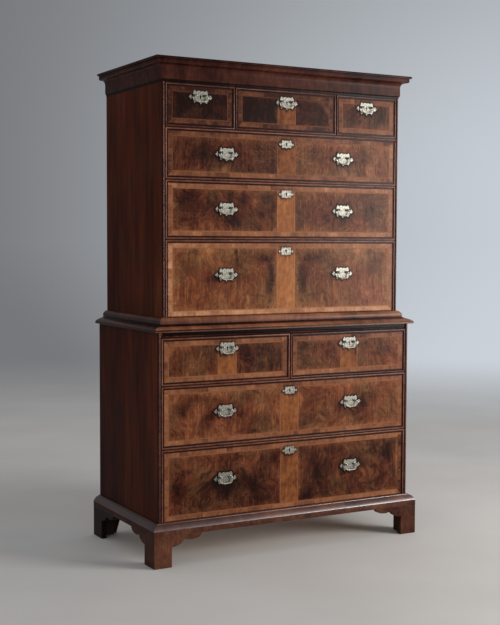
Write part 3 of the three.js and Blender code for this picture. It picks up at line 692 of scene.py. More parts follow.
def bead_frame(name, front, open_below):
    """The mitred bead round one drawer opening; the lowest opening of a case has none below."""
    left, right, bottom, top = opening_of(name)
    line = [(0, -BEAD_BACKING), (0, 0), *bead(BEAD_QUIRK, FRAME_BEAD), (FRAME_WIDTH, 0),
            (FRAME_WIDTH, -BEAD_BACKING)]
    below = 0 if open_below else -1
    corners = [(left, bottom, -1, below), (left, top, -1, 1), (right, top, 1, 1), (right, bottom, 1, below)]
    rings = [[(x + side * out, front - height, z + up * out) for out, height in line]
             for x, z, side, up in corners]
    shape = Shape()
    loft(shape, rings, loop=not open_below, tones=groove_painted_shade(line))
    piece(shape, "bead_frame_" + name, "case", [BEADS],
          shade=BEAD_SHADE if name in PALE_FRAMES else 0.0)


def around(shape, section, half, front, looks=None, tones=None, side_painted_shade=0.0):
    """A section of (out, z) pairs mitred round the front and both sides of a case; the sides' runs take any
    painted shade given.
    """
    stations = [(-1, BACK, 0), (-1, front, 1), (1, front, 1), (1, BACK, 0)]
    rings = [[(side * (half + out), y - turn * out, z) for out, z in section] for side, y, turn in stations]
    loft(shape, rings, looks, tones=tones, run_tones=[side_painted_shade, 0.0, side_painted_shade])


def stops_under(shape, names, front, floor):
    for name in names:
        low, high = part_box("drawer_" + name)
        middle = (low.x + high.x) / 2
        reach = (high.x - low.x) / 2 - SIDE_THICKNESS - STOP_WIDTH
        near = front + FRONT_THICKNESS + RUNNING_GAP
        for centre in (middle - reach, middle + reach):
            board(shape, (centre - STOP_WIDTH / 2, near, floor),
                  (centre + STOP_WIDTH / 2, near + STOP_DEPTH, floor + STOP_HEIGHT))


# Case pieces
def side_light_and_shade(point):
    """Painted shade and light: the sides are darker towards the back and, behind, towards the floor, and
    lighter at the top.
    """
    depth = (point[1] - LOWER_FRONT) / (BACK - LOWER_FRONT)
    lowness = 1 - point[2] / TOP
    return SIDE_TOP_PAINTED_LIGHT * (1 - lowness) - SIDE_PAINTED_FALLOFF * depth * lowness


def case_side(name, side, half, inner, front, heights, bead_heights):
    """A side board with the rebate for the back, and the outer bead of its front edge."""
    plan = [(inner, front + BEAD_BACKING), (half, front + BEAD_BACKING), (half, BACK),
            (inner + REBATE, BACK), (inner + REBATE, BACK_FACE), (inner, BACK_FACE)]
    shape = Shape()
    prism(shape, plan, lambda x, y, z: (side * x, y, z), *heights, tone_at=side_light_and_shade)
    start = inner + FRAME_WIDTH
    line = [(start, -BEAD_BACKING), (start, 0), *bead(start + BEAD_QUIRK / 2, half - start - BEAD_QUIRK),
            (half, -BEAD_BACKING)]
    strip = [[(side * x, front - height, z) for x, height in line] for z in bead_heights]
    loft(shape, strip, [1] * len(line), tones=groove_painted_shade(line))
    for low, high in zip((heights[0], bead_heights[1]), (bead_heights[0], heights[1])):
        board(shape, (min(side * inner, side * half), front, low),
              (max(side * inner, side * half), front + BEAD_BACKING, high))
    piece(shape, name + "_board", "case", [SIDE, BEADS], [name])


def runners(shape, lefts, front, low, high):
    """Runners or kickers behind a rail, each from its left edge."""
    for left in lefts:
        board(shape, (left, front + RAIL_DEPTH, low), (left + RUNNER, BACK_FACE, high), 1)


def divider(name, front, inner, bottom, cells):
    """A rail with dustboard and runners, and the stops and partitions of the row above it."""
    shape = Shape()
    back = front + BEAD_BACKING
    behind = front + RAIL_DEPTH
    top = bottom + RAIL_FACE
    centre = (bottom + top) / 2
    cross_board(shape, inner, (back, behind), (bottom, top))
    cross_board(shape, inner, (behind, BACK_FACE), (centre - DUSTBOARD / 2, centre + DUSTBOARD / 2))
    edges = [opening_of(cell)[:2] for cell in cells]
    for left, right in edges:
        runners(shape, (left, right - RUNNER), front, bottom, top)
    for near, far in zip(edges[:-1], edges[1:]):
        board(shape, (near[1], back, top), (far[0], BACK_FACE, opening_of(cells[0])[3]), 1)
    stops_under(shape, cells, front, top)
    piece(shape, name + "_boards", "case", [PINES["x"], PINES["y"]], [name], EASE)


def build_case():
    for word, side in (("left", -1), ("right", 1)):
        case_side("lower_side_" + word, side, LOWER_HALF, LOWER_INNER, LOWER_FRONT,
                  (BASE_SEAT, LOWER_TOP), (LOWER_FLOOR, WAIST_LOW))
        case_side("upper_side_" + word, side, UPPER_HALF, UPPER_INNER, UPPER_FRONT,
                  (LOWER_TOP, UPPER_TOP), (WAIST_TOP, FRIEZE_FACE))
    for place, rows, front, inner in (("lower", LOWER_ROWS, LOWER_FRONT, LOWER_INNER),
                                      ("upper", UPPER_ROWS, UPPER_FRONT, UPPER_INNER)):
        for number in range(1, len(rows)):
            bottom = opening_of(rows[number - 1][0])[3]
            divider(f"{place}_divider_{len(rows) - number}", front, inner, bottom, rows[number])
        for number, row in enumerate(rows):
            for cell in row:
                bead_frame(cell, front, number == 0)


# Mouldings
BASE_SHELF = 0.034
BASE_OVOLO_RUN = 0.018
BASE_OVOLO_RISE = 0.019
BASE_BEAD_RUN = 0.007
BASE_BEAD_RISE = 0.003
BASE_BULGE = 0.0025
WAIST_DROP = 0.016
WAIST_NOSE = 0.007
WAIST_OVOLO_RUN = 0.0245
WAIST_OVOLO_RISE = 0.013
WAIST_FACE_OUT = 0.016
WAIST_SEAT = 0.009
WAIST_FACE = 0.013
WAIST_BULGE = 0.001
WAIST_FILLET = 0.0025
WAIST_EDGE = 0.006
CORNICE_CROWN = 0.009
CORNICE_ROUND = 0.003
CORNICE_FILLET_RUN = 0.007
CORNICE_FILLET = 0.012
SOFFIT_RUN = 0.016
SOFFIT_DROP = 0.004
CORNICE_COVE = 0.020
FRIEZE_OUT = 0.005
FRIEZE_FOOT = 0.009
WAIST_LOW = LOWER_TOP - WAIST_DROP


def bulged(start, end, bulge):
    """The control point of a flat curve that stands out from the line between its ends."""
    out, up = end[1] - start[1], start[0] - end[0]
    length = math.hypot(out, up)
    middle = ((start[0] + end[0]) / 2, (start[1] + end[1]) / 2)
    return (middle[0] + 2 * bulge * out / length, middle[1] + 2 * bulge * up / length)


def base_section():
    bead_foot = (BASE_OUT - BASE_OVOLO_RUN, LOWER_FLOOR - BASE_BEAD_RISE)
    ovolo_foot = (BASE_OUT, bead_foot[1] - BASE_OVOLO_RISE)
    bead_start = (BASE_BEAD_RUN, bead_foot[1])
    return [
        (-BASE_SHELF, FOOT_TOP), (BASE_OUT, FOOT_TOP), ovolo_foot,
        *curve(ovolo_foot, bulged(ovolo_foot, bead_foot, BASE_BULGE), bead_foot, LONG_CURVE), bead_start,
        *curve(bead_start, (BASE_BEAD_RUN, LOWER_FLOOR), (BASE_BEAD_RUN / 3, LOWER_FLOOR), TIGHT_CURVE),
        (0, LOWER_FLOOR), (0, BASE_SEAT), (-BASE_SHELF, BASE_SEAT),
    ]


def build_base():
    section = base_section()
    looks = [0] * len(section)
    looks[1] = 1
    shape = Shape()
    tones = [FASCIA_TONE if z <= section[2][1] else 0.0 for out, z in section]
    around(shape, section, LOWER_HALF, LOWER_FRONT, looks, tones, BASE_SIDE_PAINTED_SHADE)
    piece(shape, "base_mould", "case", [WORN, FOOT], sharp=MOULD_ANGLE,
          shade=BASE_SHADE)
    boards = Shape()
    cross_board(boards, LOWER_INNER, (LOWER_FRONT, BACK_FACE), (BASE_SEAT, LOWER_FLOOR))
    cross_board(boards, LOWER_HALF, (BACK - BASE_SHELF, BACK), (FOOT_TOP, BASE_SEAT))
    stops_under(boards, LOWER_ROWS[0], LOWER_FRONT, LOWER_FLOOR)
    piece(boards, "base_boards", "case", [PINES["x"]], ["base_moulding"], EASE)


def waist_section():
    nose = WAIST_LOW + WAIST_NOSE
    ovolo_top = (WAIST_OUT - WAIST_OVOLO_RUN, nose + WAIST_OVOLO_RISE)
    ovolo_control = (WAIST_OUT - WAIST_OVOLO_RUN / 4, nose + WAIST_OVOLO_RISE * 2 / 3)
    face_foot = (WAIST_FACE_OUT - CASE_STEP, LOWER_TOP + WAIST_SEAT)
    face_top = (face_foot[0], face_foot[1] + WAIST_FACE)
    edge_foot = (face_top[0] - WAIST_FILLET, face_top[1] + WAIST_FILLET)
    bulge = (face_foot[0] + 2 * WAIST_BULGE, (face_foot[1] + face_top[1]) / 2)
    return [
        (0, WAIST_LOW), (WAIST_OUT - WAIST_BULGE, WAIST_LOW), (WAIST_OUT, WAIST_LOW + WAIST_BULGE),
        (WAIST_OUT, nose),
        *curve((WAIST_OUT, nose), ovolo_control, ovolo_top, NOSE_CURVE), face_foot,
        *curve(face_foot, bulge, face_top), edge_foot,
        *curve(edge_foot, (edge_foot[0] - WAIST_EDGE, WAIST_TOP), (BEAD_QUIRK - CASE_STEP, WAIST_TOP)),
        (-CASE_STEP, WAIST_TOP), (-CASE_STEP, LOWER_TOP), (0, LOWER_TOP),
    ]


def top_rail(shape, inner, front, low, high, second_bead, look=0):
    """The walnut face above the bead frames of a top row, with its upper bead where it has one, darkened by a
    painted shade.
    """
    start = FRAME_WIDTH
    line = [(start, -BEAD_BACKING), (start, 0)]
    if second_bead:
        line += [*bead(start + BEAD_QUIRK / 2, FRAME_BEAD), (RAIL_FACE, 0)]
    line += [(high - low, 0), (high - low, -BEAD_BACKING)]
    rings = [[(x, front - height, low + along) for along, height in line] for x in (-inner, inner)]
    loft(shape, rings, [look] * len(line), tones=[value + RAIL_PAINTED_SHADE for value in groove_painted_shade(line)])


def waist_light_and_shade(z):
    """Painted shade under the nose and in the groove between the ovolo and the face, darker on the nose's face,
    painted light on the ovolo and the upper edge, and a pale nose edge that is wear and painted highlight.
    """
    nose = WAIST_LOW + WAIST_NOSE
    seat = LOWER_TOP + WAIST_SEAT
    steps = [(WAIST_LOW + WAIST_BULGE / 2, NOSE_UNDERSIDE_SHADE), (WAIST_LOW + 2 * WAIST_BULGE, NOSE_EDGE_WEAR_AND_HIGHLIGHT),
             (nose + WAIST_BULGE, NOSE_TOP_TONE), (nose + WAIST_OVOLO_RISE * OVOLO_LIGHT_SHARE, OVOLO_PAINTED_LIGHT),
             (seat + WAIST_BULGE, WAIST_GROOVE_PAINTED_SHADE), (seat + WAIST_FACE - WAIST_BULGE, 0.0),
             (math.inf, WAIST_EDGE_PAINTED_LIGHT)]
    return tone_below(steps, z)


def build_waist():
    shape = Shape()
    low = LOWER_TOP - BOARD
    behind = LOWER_FRONT + BEAD_BACKING
    section = waist_section()
    tones = [waist_light_and_shade(z) for out, z in section]
    looks = [int(z < WAIST_LOW + WAIST_BULGE / 2) for out, z in section]
    around(shape, section, LOWER_HALF, LOWER_FRONT, looks, tones, WAIST_SIDE_PAINTED_SHADE)
    top_rail(shape, LOWER_INNER, LOWER_FRONT, LOWER_RAIL, low, True, 1)
    piece(shape, "waist_mould", "case", [WAIST, MOULD], sharp=MOULD_ANGLE,
          shade=WAIST_SHADE)
    boards = Shape()
    cross_board(boards, LOWER_INNER, (behind, BACK_FACE), (low, LOWER_TOP))
    cross_board(boards, LOWER_INNER, (LOWER_FRONT, behind), (low, LOWER_TOP), 2)
    cross_board(boards, LOWER_INNER, (behind, LOWER_FRONT + RAIL_DEPTH), (LOWER_RAIL, low))
    runners(boards, (-LOWER_INNER, -RUNNER / 2, LOWER_INNER - RUNNER), LOWER_FRONT, LOWER_RAIL, low)
    piece(boards, "waist_boards", "case", [PINES["x"], PINES["y"], MOULD], ["waist_moulding"], EASE)


def cornice_section():
    low = FRIEZE_FACE
    crown = TOP - CORNICE_CROWN
    fillet = CORNICE_OUT - CORNICE_FILLET_RUN
    fillet_foot = crown - CORNICE_FILLET
    cove_top = (fillet - SOFFIT_RUN, fillet_foot - SOFFIT_DROP)
    cove_foot = (FRIEZE_OUT, cove_top[1] - CORNICE_COVE)
    crown_foot = (CORNICE_OUT, crown + CORNICE_ROUND)
    crown_top = (CORNICE_OUT, TOP - CORNICE_ROUND)
    return [
        (0, low), (BEAD_QUIRK, low),
        *curve((BEAD_QUIRK, low), (BEAD_QUIRK, low + FRIEZE_FOOT), (FRIEZE_OUT, low + FRIEZE_FOOT)),
        cove_foot, *curve(cove_foot, (FRIEZE_OUT, cove_top[1] - SOFFIT_DROP), cove_top, LONG_CURVE),
        *curve(cove_top, (fillet - CORNICE_ROUND, cove_top[1]), (fillet, fillet_foot), SHORT_CURVE),
        (fillet, crown), *curve((fillet, crown), (CORNICE_OUT, crown), crown_foot, SHORT_CURVE),
        crown_top, *curve(crown_top, (CORNICE_OUT, TOP), (CORNICE_OUT - CORNICE_ROUND, TOP), TIGHT_CURVE),
        (0, TOP),
    ]


def cornice_tone(out, z):
    """Darker on the crown, and painted shade in the hollow at the foot of the frieze."""
    if z > TOP - CORNICE_CROWN - CORNICE_FILLET:
        return CROWN_TONE
    return FRIEZE_FOOT_PAINTED_SHADE if out < FRIEZE_OUT and z < FRIEZE + RAIL_FACE else 0.0


def build_cornice():
    shape = Shape()
    low = UPPER_TOP - BOARD
    section = cornice_section()
    around(shape, section, UPPER_HALF, UPPER_FRONT, tones=[cornice_tone(out, z) for out, z in section])
    top_rail(shape, UPPER_INNER, UPPER_FRONT, FRIEZE, low, False)
    piece(shape, "cornice_mould", "case", [MOULD], ["cornice"], sharp=MOULD_ANGLE,
          shade=CORNICE_SHADE)
    boards = Shape()
    cross_board(boards, UPPER_INNER, (UPPER_FRONT, BACK_FACE), (low, UPPER_TOP))
    cross_board(boards, UPPER_INNER, (UPPER_FRONT + BEAD_BACKING, UPPER_FRONT + RAIL_DEPTH), (FRIEZE, low))
    middle = opening_of("upper_middle")
    kickers = (-UPPER_INNER, middle[0] - (RAIL_FACE + RUNNER) / 2, middle[1] + (RAIL_FACE - RUNNER) / 2,
               UPPER_INNER - RUNNER)
    runners(boards, kickers, UPPER_FRONT, FRIEZE, low)
    piece(boards, "upper_top_boards", "case", [PINES["x"], PINES["y"]], ["upper_top_board"], EASE)


# Bracket feet
FOOT_BOARD = 0.020
FOOT_DROP = 0.039
FOOT_FRONT = 0.068
FOOT_SIDE = 0.082
LOBE_RUN = 0.046
LOBE_RISE = 0.023
LOBE_TWO = 0.070
LOBE_SAG = 0.004
LOBE_STEPS = 14
REAR_FOOT = 0.085
REAR_TOP = 0.120
BLOCK = 0.040
BLOCK_LIFT = 0.006
# Painted shade on the side brackets
SIDE_BRACKET_PAINTED_SHADE = -0.14
# Each foot's own tone, with painted shade that makes the back feet darker
FOOT_TONES_AND_PAINTED_SHADE = {"front_left": -0.04, "front_right": -0.22, "back_left": -0.50, "back_right": -0.30}
FOOT_EASE = 0.0012


def bracket_outline(post):
    height = FOOT_TOP - FOOT_DROP
    top = FOOT_TOP + FOOT_EASE
    cusp = (post + LOBE_RUN, height + LOBE_RISE)
    sag = (cusp[0] + LOBE_RUN / 2, cusp[1] - LOBE_SAG)
    end = (cusp[0] + LOBE_TWO, top)
    return [(0, 0), (post, 0), (post, height),
            *curve((post, height), (cusp[0] - LOBE_RISE / 2, height), cusp, LOBE_STEPS),
            sag, *curve(sag, (end[0], sag[1]), end, LOBE_STEPS), (0, top)]


def mitred_bracket(shape, outline, place, along, shade):
    """A bracket whose outer end is cut at 45 degrees; its grain map runs on from the fascia's."""
    count = len(outline)
    points = [place(max(run, deep), z, deep) for deep in (0.0, FOOT_BOARD) for run, z in outline]
    places = [(along(run), z - FOOT_TOP + BASE_OUT + BASE_SHELF) for run, z in outline] * 2
    faces = [list(range(count)), list(range(2 * count - 1, count - 1, -1))]
    for index in range(count):
        after = (index + 1) % count
        faces.append([after, index, index + count, after + count])
    maps = [[places[corner] for corner in face] for face in faces]
    for face_maps in maps[2:]:
        face_maps[2:] = [(a + FOOT_BOARD, b) for a, b in face_maps[2:]]
    add_outward(shape, points, faces, maps, [0] * len(faces), [[shade] * len(face) for face in faces])


def build_foot(word, side, at_front):
    """Two shaped brackets mitred at the corner, or a side bracket and a plain one at the back."""
    outer = LOWER_HALF + BASE_OUT
    start = LOWER_FRONT - BASE_OUT if at_front else BACK
    inward = 1 if at_front else -1
    rear = [(0, 0), (REAR_FOOT, 0), (REAR_TOP, FOOT_TOP), (0, FOOT_TOP)]
    shape = Shape()
    mitred_bracket(shape, bracket_outline(FOOT_SIDE),
                   lambda run, z, deep: (side * (outer - deep), start + inward * run, z),
                   lambda run: side * (start + inward * run), SIDE_BRACKET_PAINTED_SHADE)
    mitred_bracket(shape, bracket_outline(FOOT_FRONT) if at_front else rear,
                   lambda run, z, deep: (side * (outer - run), start + inward * deep, z),
                   lambda run: side * (outer - run), 0.0)
    xs = sorted(side * (outer - FOOT_BOARD - depth) for depth in (0, BLOCK))
    ys = sorted(start + inward * (FOOT_BOARD + depth) for depth in (0, BLOCK))
    board(shape, (xs[0], ys[0], BLOCK_LIFT), (xs[1], ys[1], FOOT_TOP), 1)
    corner = ("front_" if at_front else "back_") + word
    piece(shape, "bracket_foot_" + corner, "case", [FOOT, AGED_AND_SHADED_PINE], ["foot_" + corner],
          FOOT_EASE, shade=FOOT_TONES_AND_PAINTED_SHADE[corner])


def build_feet():
    for word, side in (("left", -1), ("right", 1)):
        build_foot(word, side, True)
        build_foot(word, side, False)


# Drawer fronts
BORDER_WIDTH = 0.017
FEATHER_WIDTH = 0.0018
BAND_HALF = 0.038
BAND_LINE = 0.0024
CELL = 0.010
FINE_CELL = 0.004
# A thin dark line round each plate, of dirt and of a painted shadow shifted to the left and down
HALO_REACH = 0.0045
HALO_SHADOW_AND_DIRT = -0.45
HALO_SHADOW_SHIFT = (-0.0015, -0.0012)
HALO_MARGIN = 0.008
KEY_BLOCK = 0.012
PATCH_BEND = 0.032
PATCH_BEND_SCALE = 9.0
FIGURE_SEED = 5
PATCH_BEND_ACROSS = 5
PATCH_BEND_UP = 6
NO_BAND = ("upper_left", "upper_right")
BOOK_MATCHED = ("upper_long_3", "upper_long_1")
LEAF_SHIFT = 0.35

# Tones of each drawer: its two panels, its border on the left, right, top and bottom, and its band
# Besides the wood's own tone they hold painted shade: the top row is darker, most of all at its left, as if the
# light fell off there
DRAWER_TONES_AND_SHADE = {
    "upper_long_3": (0.06, 0.05, 0.22, -0.02, 0.10, 0.32, 0.18),
    "upper_long_2": (-0.12, -0.04, 0.0, 0.02, 0.0, 0.06, 0.04),
    "upper_long_1": (-0.18, 0.01, -0.28, 0.02, -0.20, -0.12, -0.20),
    "upper_left": (-0.52, -0.52, -0.48, -0.38, -0.46, -0.34, 0.0),
    "upper_middle": (-0.56, -0.33, -0.44, -0.40, -0.45, -0.32, -0.20),
    "upper_right": (-0.21, -0.21, -0.18, -0.03, -0.14, -0.11, 0.0),
    "lower_left": (-0.12, -0.22, -0.05, -0.24, -0.02, 0.04, -0.14),
    "lower_right": (-0.12, -0.10, -0.22, -0.06, -0.16, -0.01, -0.12),
    "lower_long_1": (0.0, -0.02, -0.06, -0.10, -0.05, -0.05, -0.12),
    "lower_long_2": (-0.20, -0.20, -0.12, -0.40, -0.05, -0.05, -0.15),
}

# Soft patches of the figure, in hundredths of a panel: place from its outer edge at -100 to
# its band side at 100, height from 0 to 100, reach across, reach up, and tone in hundredths. A drawer has a
# left and a right list.
# A few of the light patches are painted sheen rather than figure.
FIGURE_AND_SHEEN_SHARES = {
    "upper_long_3": (
        [(85, 60, 6, 30, -36), (76, 91, 13, 7, -26), (22, 92, 3.5, 12, -34), (-75, 70, 13, 20, -16),
         (-36, 56, 20, 22, -14), (-26, 52, 9, 8, -24), (-34, 92, 13, 10, 16), (55, 76, 20, 14, 8),
         (-84, 38, 5, 24, -18), (-12, 12, 14, 12, 14), (46, 12, 14, 14, 12), (-95, 20, 5, 30, 14),
         (72, 2, 14, 5, -24), (-64, 28, 6, 12, -10)],
        [(80, 62, 7, 30, -30), (66, 92, 13, 7, -24), (-60, 66, 24, 18, -14), (-85, 66, 3.5, 18, -20),
         (-34, 92, 12, 10, 14), (-70, 90, 13, 7, -16), (4, 22, 9, 26, 10), (52, 30, 20, 20, -6),
         (-42, 18, 12, 14, 12), (36, 60, 12, 22, 6), (-96, 30, 4, 30, 12)]),
    "upper_long_2": (
        [(-72, 76, 15, 28, -24), (2, 86, 7, 18, -24), (30, 70, 9, 16, -16), (50, 72, 8, 14, 18),
         (14, 32, 14, 18, -14), (17, 6, 11, 9, 18), (62, 28, 20, 16, 6), (65, 46, 6, 14, -14),
         (94, 88, 6, 12, 14), (-42, 30, 20, 20, 6), (-84, 26, 6, 10, -14)],
        [(60, 50, 14, 30, -10), (2, 90, 11, 12, 14), (-55, 90, 28, 6, -20), (-40, 48, 12, 26, 8),
         (34, 34, 11, 16, -12), (-78, 50, 14, 26, -6), (92, 60, 5, 40, 10)]),
    "upper_long_1": (
        [(-70, 54, 14, 24, -20), (-40, 62, 11, 24, -14), (0, 12, 12, 15, 18), (34, 80, 12, 18, 8),
         (47, 22, 11, 14, -14), (75, 55, 12, 26, 8), (-90, 20, 10, 16, 8)],
        [(75, 50, 10, 34, 12), (50, 66, 10, 26, -14), (-35, 14, 13, 12, -18), (-60, 34, 13, 20, 16),
         (-90, 80, 12, 20, 12), (30, 20, 10, 18, -8)]),
    "upper_left": (
        [(-76, 60, 8, 50, -16), (0, 34, 24, 20, 20), (66, 50, 28, 28, 14), (-62, 16, 20, 14, 12)],
        []),
    "upper_middle": (
        [(-78, 45, 14, 50, -8), (90, 50, 8, 50, 34), (40, 60, 14, 30, 6)],
        [(-80, 60, 14, 26, 10), (20, 70, 24, 20, -6)]),
    "upper_right": (
        [(-10, 32, 22, 24, 16), (-56, 45, 14, 40, -10), (50, 55, 16, 30, -8), (-92, 40, 10, 40, 8)],
        []),
    "lower_left": (
        [(-90, 80, 10, 24, 18), (10, 70, 7, 16, -14), (8, 28, 24, 15, 12), (60, 95, 40, 7, -24),
         (75, 50, 14, 26, 6), (-60, 50, 8, 34, -6)],
        [(60, 50, 22, 42, -18), (-25, 50, 24, 24, 12), (-72, 26, 20, 12, -12), (8, 74, 10, 14, -12),
         (-60, 74, 14, 14, 8)]),
    "lower_right": (
        [(-76, 82, 7, 10, -26), (12, 25, 10, 6, -18), (25, 52, 16, 14, -10), (-30, 55, 30, 20, 6),
         (85, 70, 8, 20, 8)],
        [(52, 88, 12, 14, -14), (10, 50, 30, 5, -10), (-60, 55, 16, 16, -8), (20, 30, 24, 10, 10),
         (-30, 78, 30, 12, 8)]),
    "lower_long_1": (
        [(-78, 60, 9, 18, -24), (-32, 44, 12, 22, -22), (-50, 90, 11, 10, -14), (50, 96, 7, 6, -26),
         (23, 44, 6, 12, -20), (55, 56, 20, 22, 10), (63, 30, 15, 10, -14), (91, 50, 8, 60, 8),
         (45, 3, 22, 6, -28), (-43, 24, 8, 10, -12), (-90, 90, 14, 12, 14), (-56, 52, 6, 20, 12)],
        [(87, 40, 12, 60, -8), (60, 85, 5, 10, -16), (52, 55, 18, 24, 8), (17, 46, 6, 12, -24),
         (0, 30, 18, 8, -14), (-30, 46, 10, 16, -28), (-72, 50, 24, 50, 8), (-27, 14, 16, 7, -16),
         (8, 12, 10, 10, 16), (70, 18, 10, 12, -10)]),
    "lower_long_2": (
        [(-80, 40, 11, 16, -26), (-2, 38, 26, 12, -24), (53, 34, 13, 15, -34), (70, 55, 7, 28, -20),
         (95, 80, 8, 15, -24), (8, 15, 16, 10, 12), (70, 6, 30, 10, -8), (-97, 50, 4, 60, 20),
         (-40, 76, 30, 20, 10), (34, 80, 20, 16, 10)],
        [(62, 50, 18, 36, -18), (70, 60, 6, 28, -16), (-75, 74, 9, 20, -30), (-94, 60, 5, 60, 26),
         (-20, 92, 16, 10, 18), (-28, 30, 13, 12, 14), (90, 3, 13, 6, -30), (-60, 26, 12, 12, -12),
         (-5, 10, 9, 10, -10), (-30, 66, 16, 16, 10)]),
}
HANDLE_SMUDGE = (0.060, 0.034, -0.14)
# Painted shade along the drawer's edges, as in the gap round it
EDGE_SHADE_WIDTH = 0.0035
EDGE_PAINTED_SHADE = -0.90
RIM_REACH = 0.012
RIM_TONE = 0.12
FEATHER_TONE = 0.02
LINE_TONE = 0.22


def patch_tone(patches, across, up, point):
    """Sum of soft patches at a place in shares, bent by noise so that no patch is a plain oval."""
    bend = noise.noise_vector(Vector(point) * PATCH_BEND_SCALE) * PATCH_BEND
    across, up = across + bend.x * PATCH_BEND_ACROSS, up + bend.y * PATCH_BEND_UP
    total = 0.0
    for patch in patches:
        a, u, reach_a, reach_u, strength = (value / 100 for value in patch)
        total += strength * math.exp(-((across - a) / reach_a) ** 2 - ((up - u) / reach_u) ** 2)
    return total


def grid_lines(stops, fine_zones):
    """Grid lines through every stop, closer together in the fine zones."""
    edges = sorted({round(edge, EDGE_DIGITS) for zone in fine_zones for edge in zone
                    if stops[0] < edge < stops[-1]})
    kept = [edge for edge in edges if min(abs(edge - stop) for stop in stops) > FEATHER_WIDTH]
    stops = sorted(stops + kept)
    lines = []
    for low, high in zip(stops[:-1], stops[1:]):
        middle = (low + high) / 2
        fine = any(zone[0] < middle < zone[1] for zone in fine_zones)
        count = max(1, round((high - low) / (FINE_CELL if fine else CELL)))
        lines += [low + (high - low) * step / count for step in range(count)]
    return lines + [stops[-1]]


def halo_shadow_and_dirt(x, z, outline, centre):
    """Old wax and dirt, with the plate's painted shadow shifted to the left and down, in a thin dark line round
    a plate.
    """
    across, up = x - centre[0] - HALO_SHADOW_SHIFT[0], z - centre[1] - HALO_SHADOW_SHIFT[1]
    nearest = min(math.hypot(across - a, up - b) for a, b in outline)
    return HALO_SHADOW_AND_DIRT * math.exp(-(nearest / HALO_REACH) ** 2)


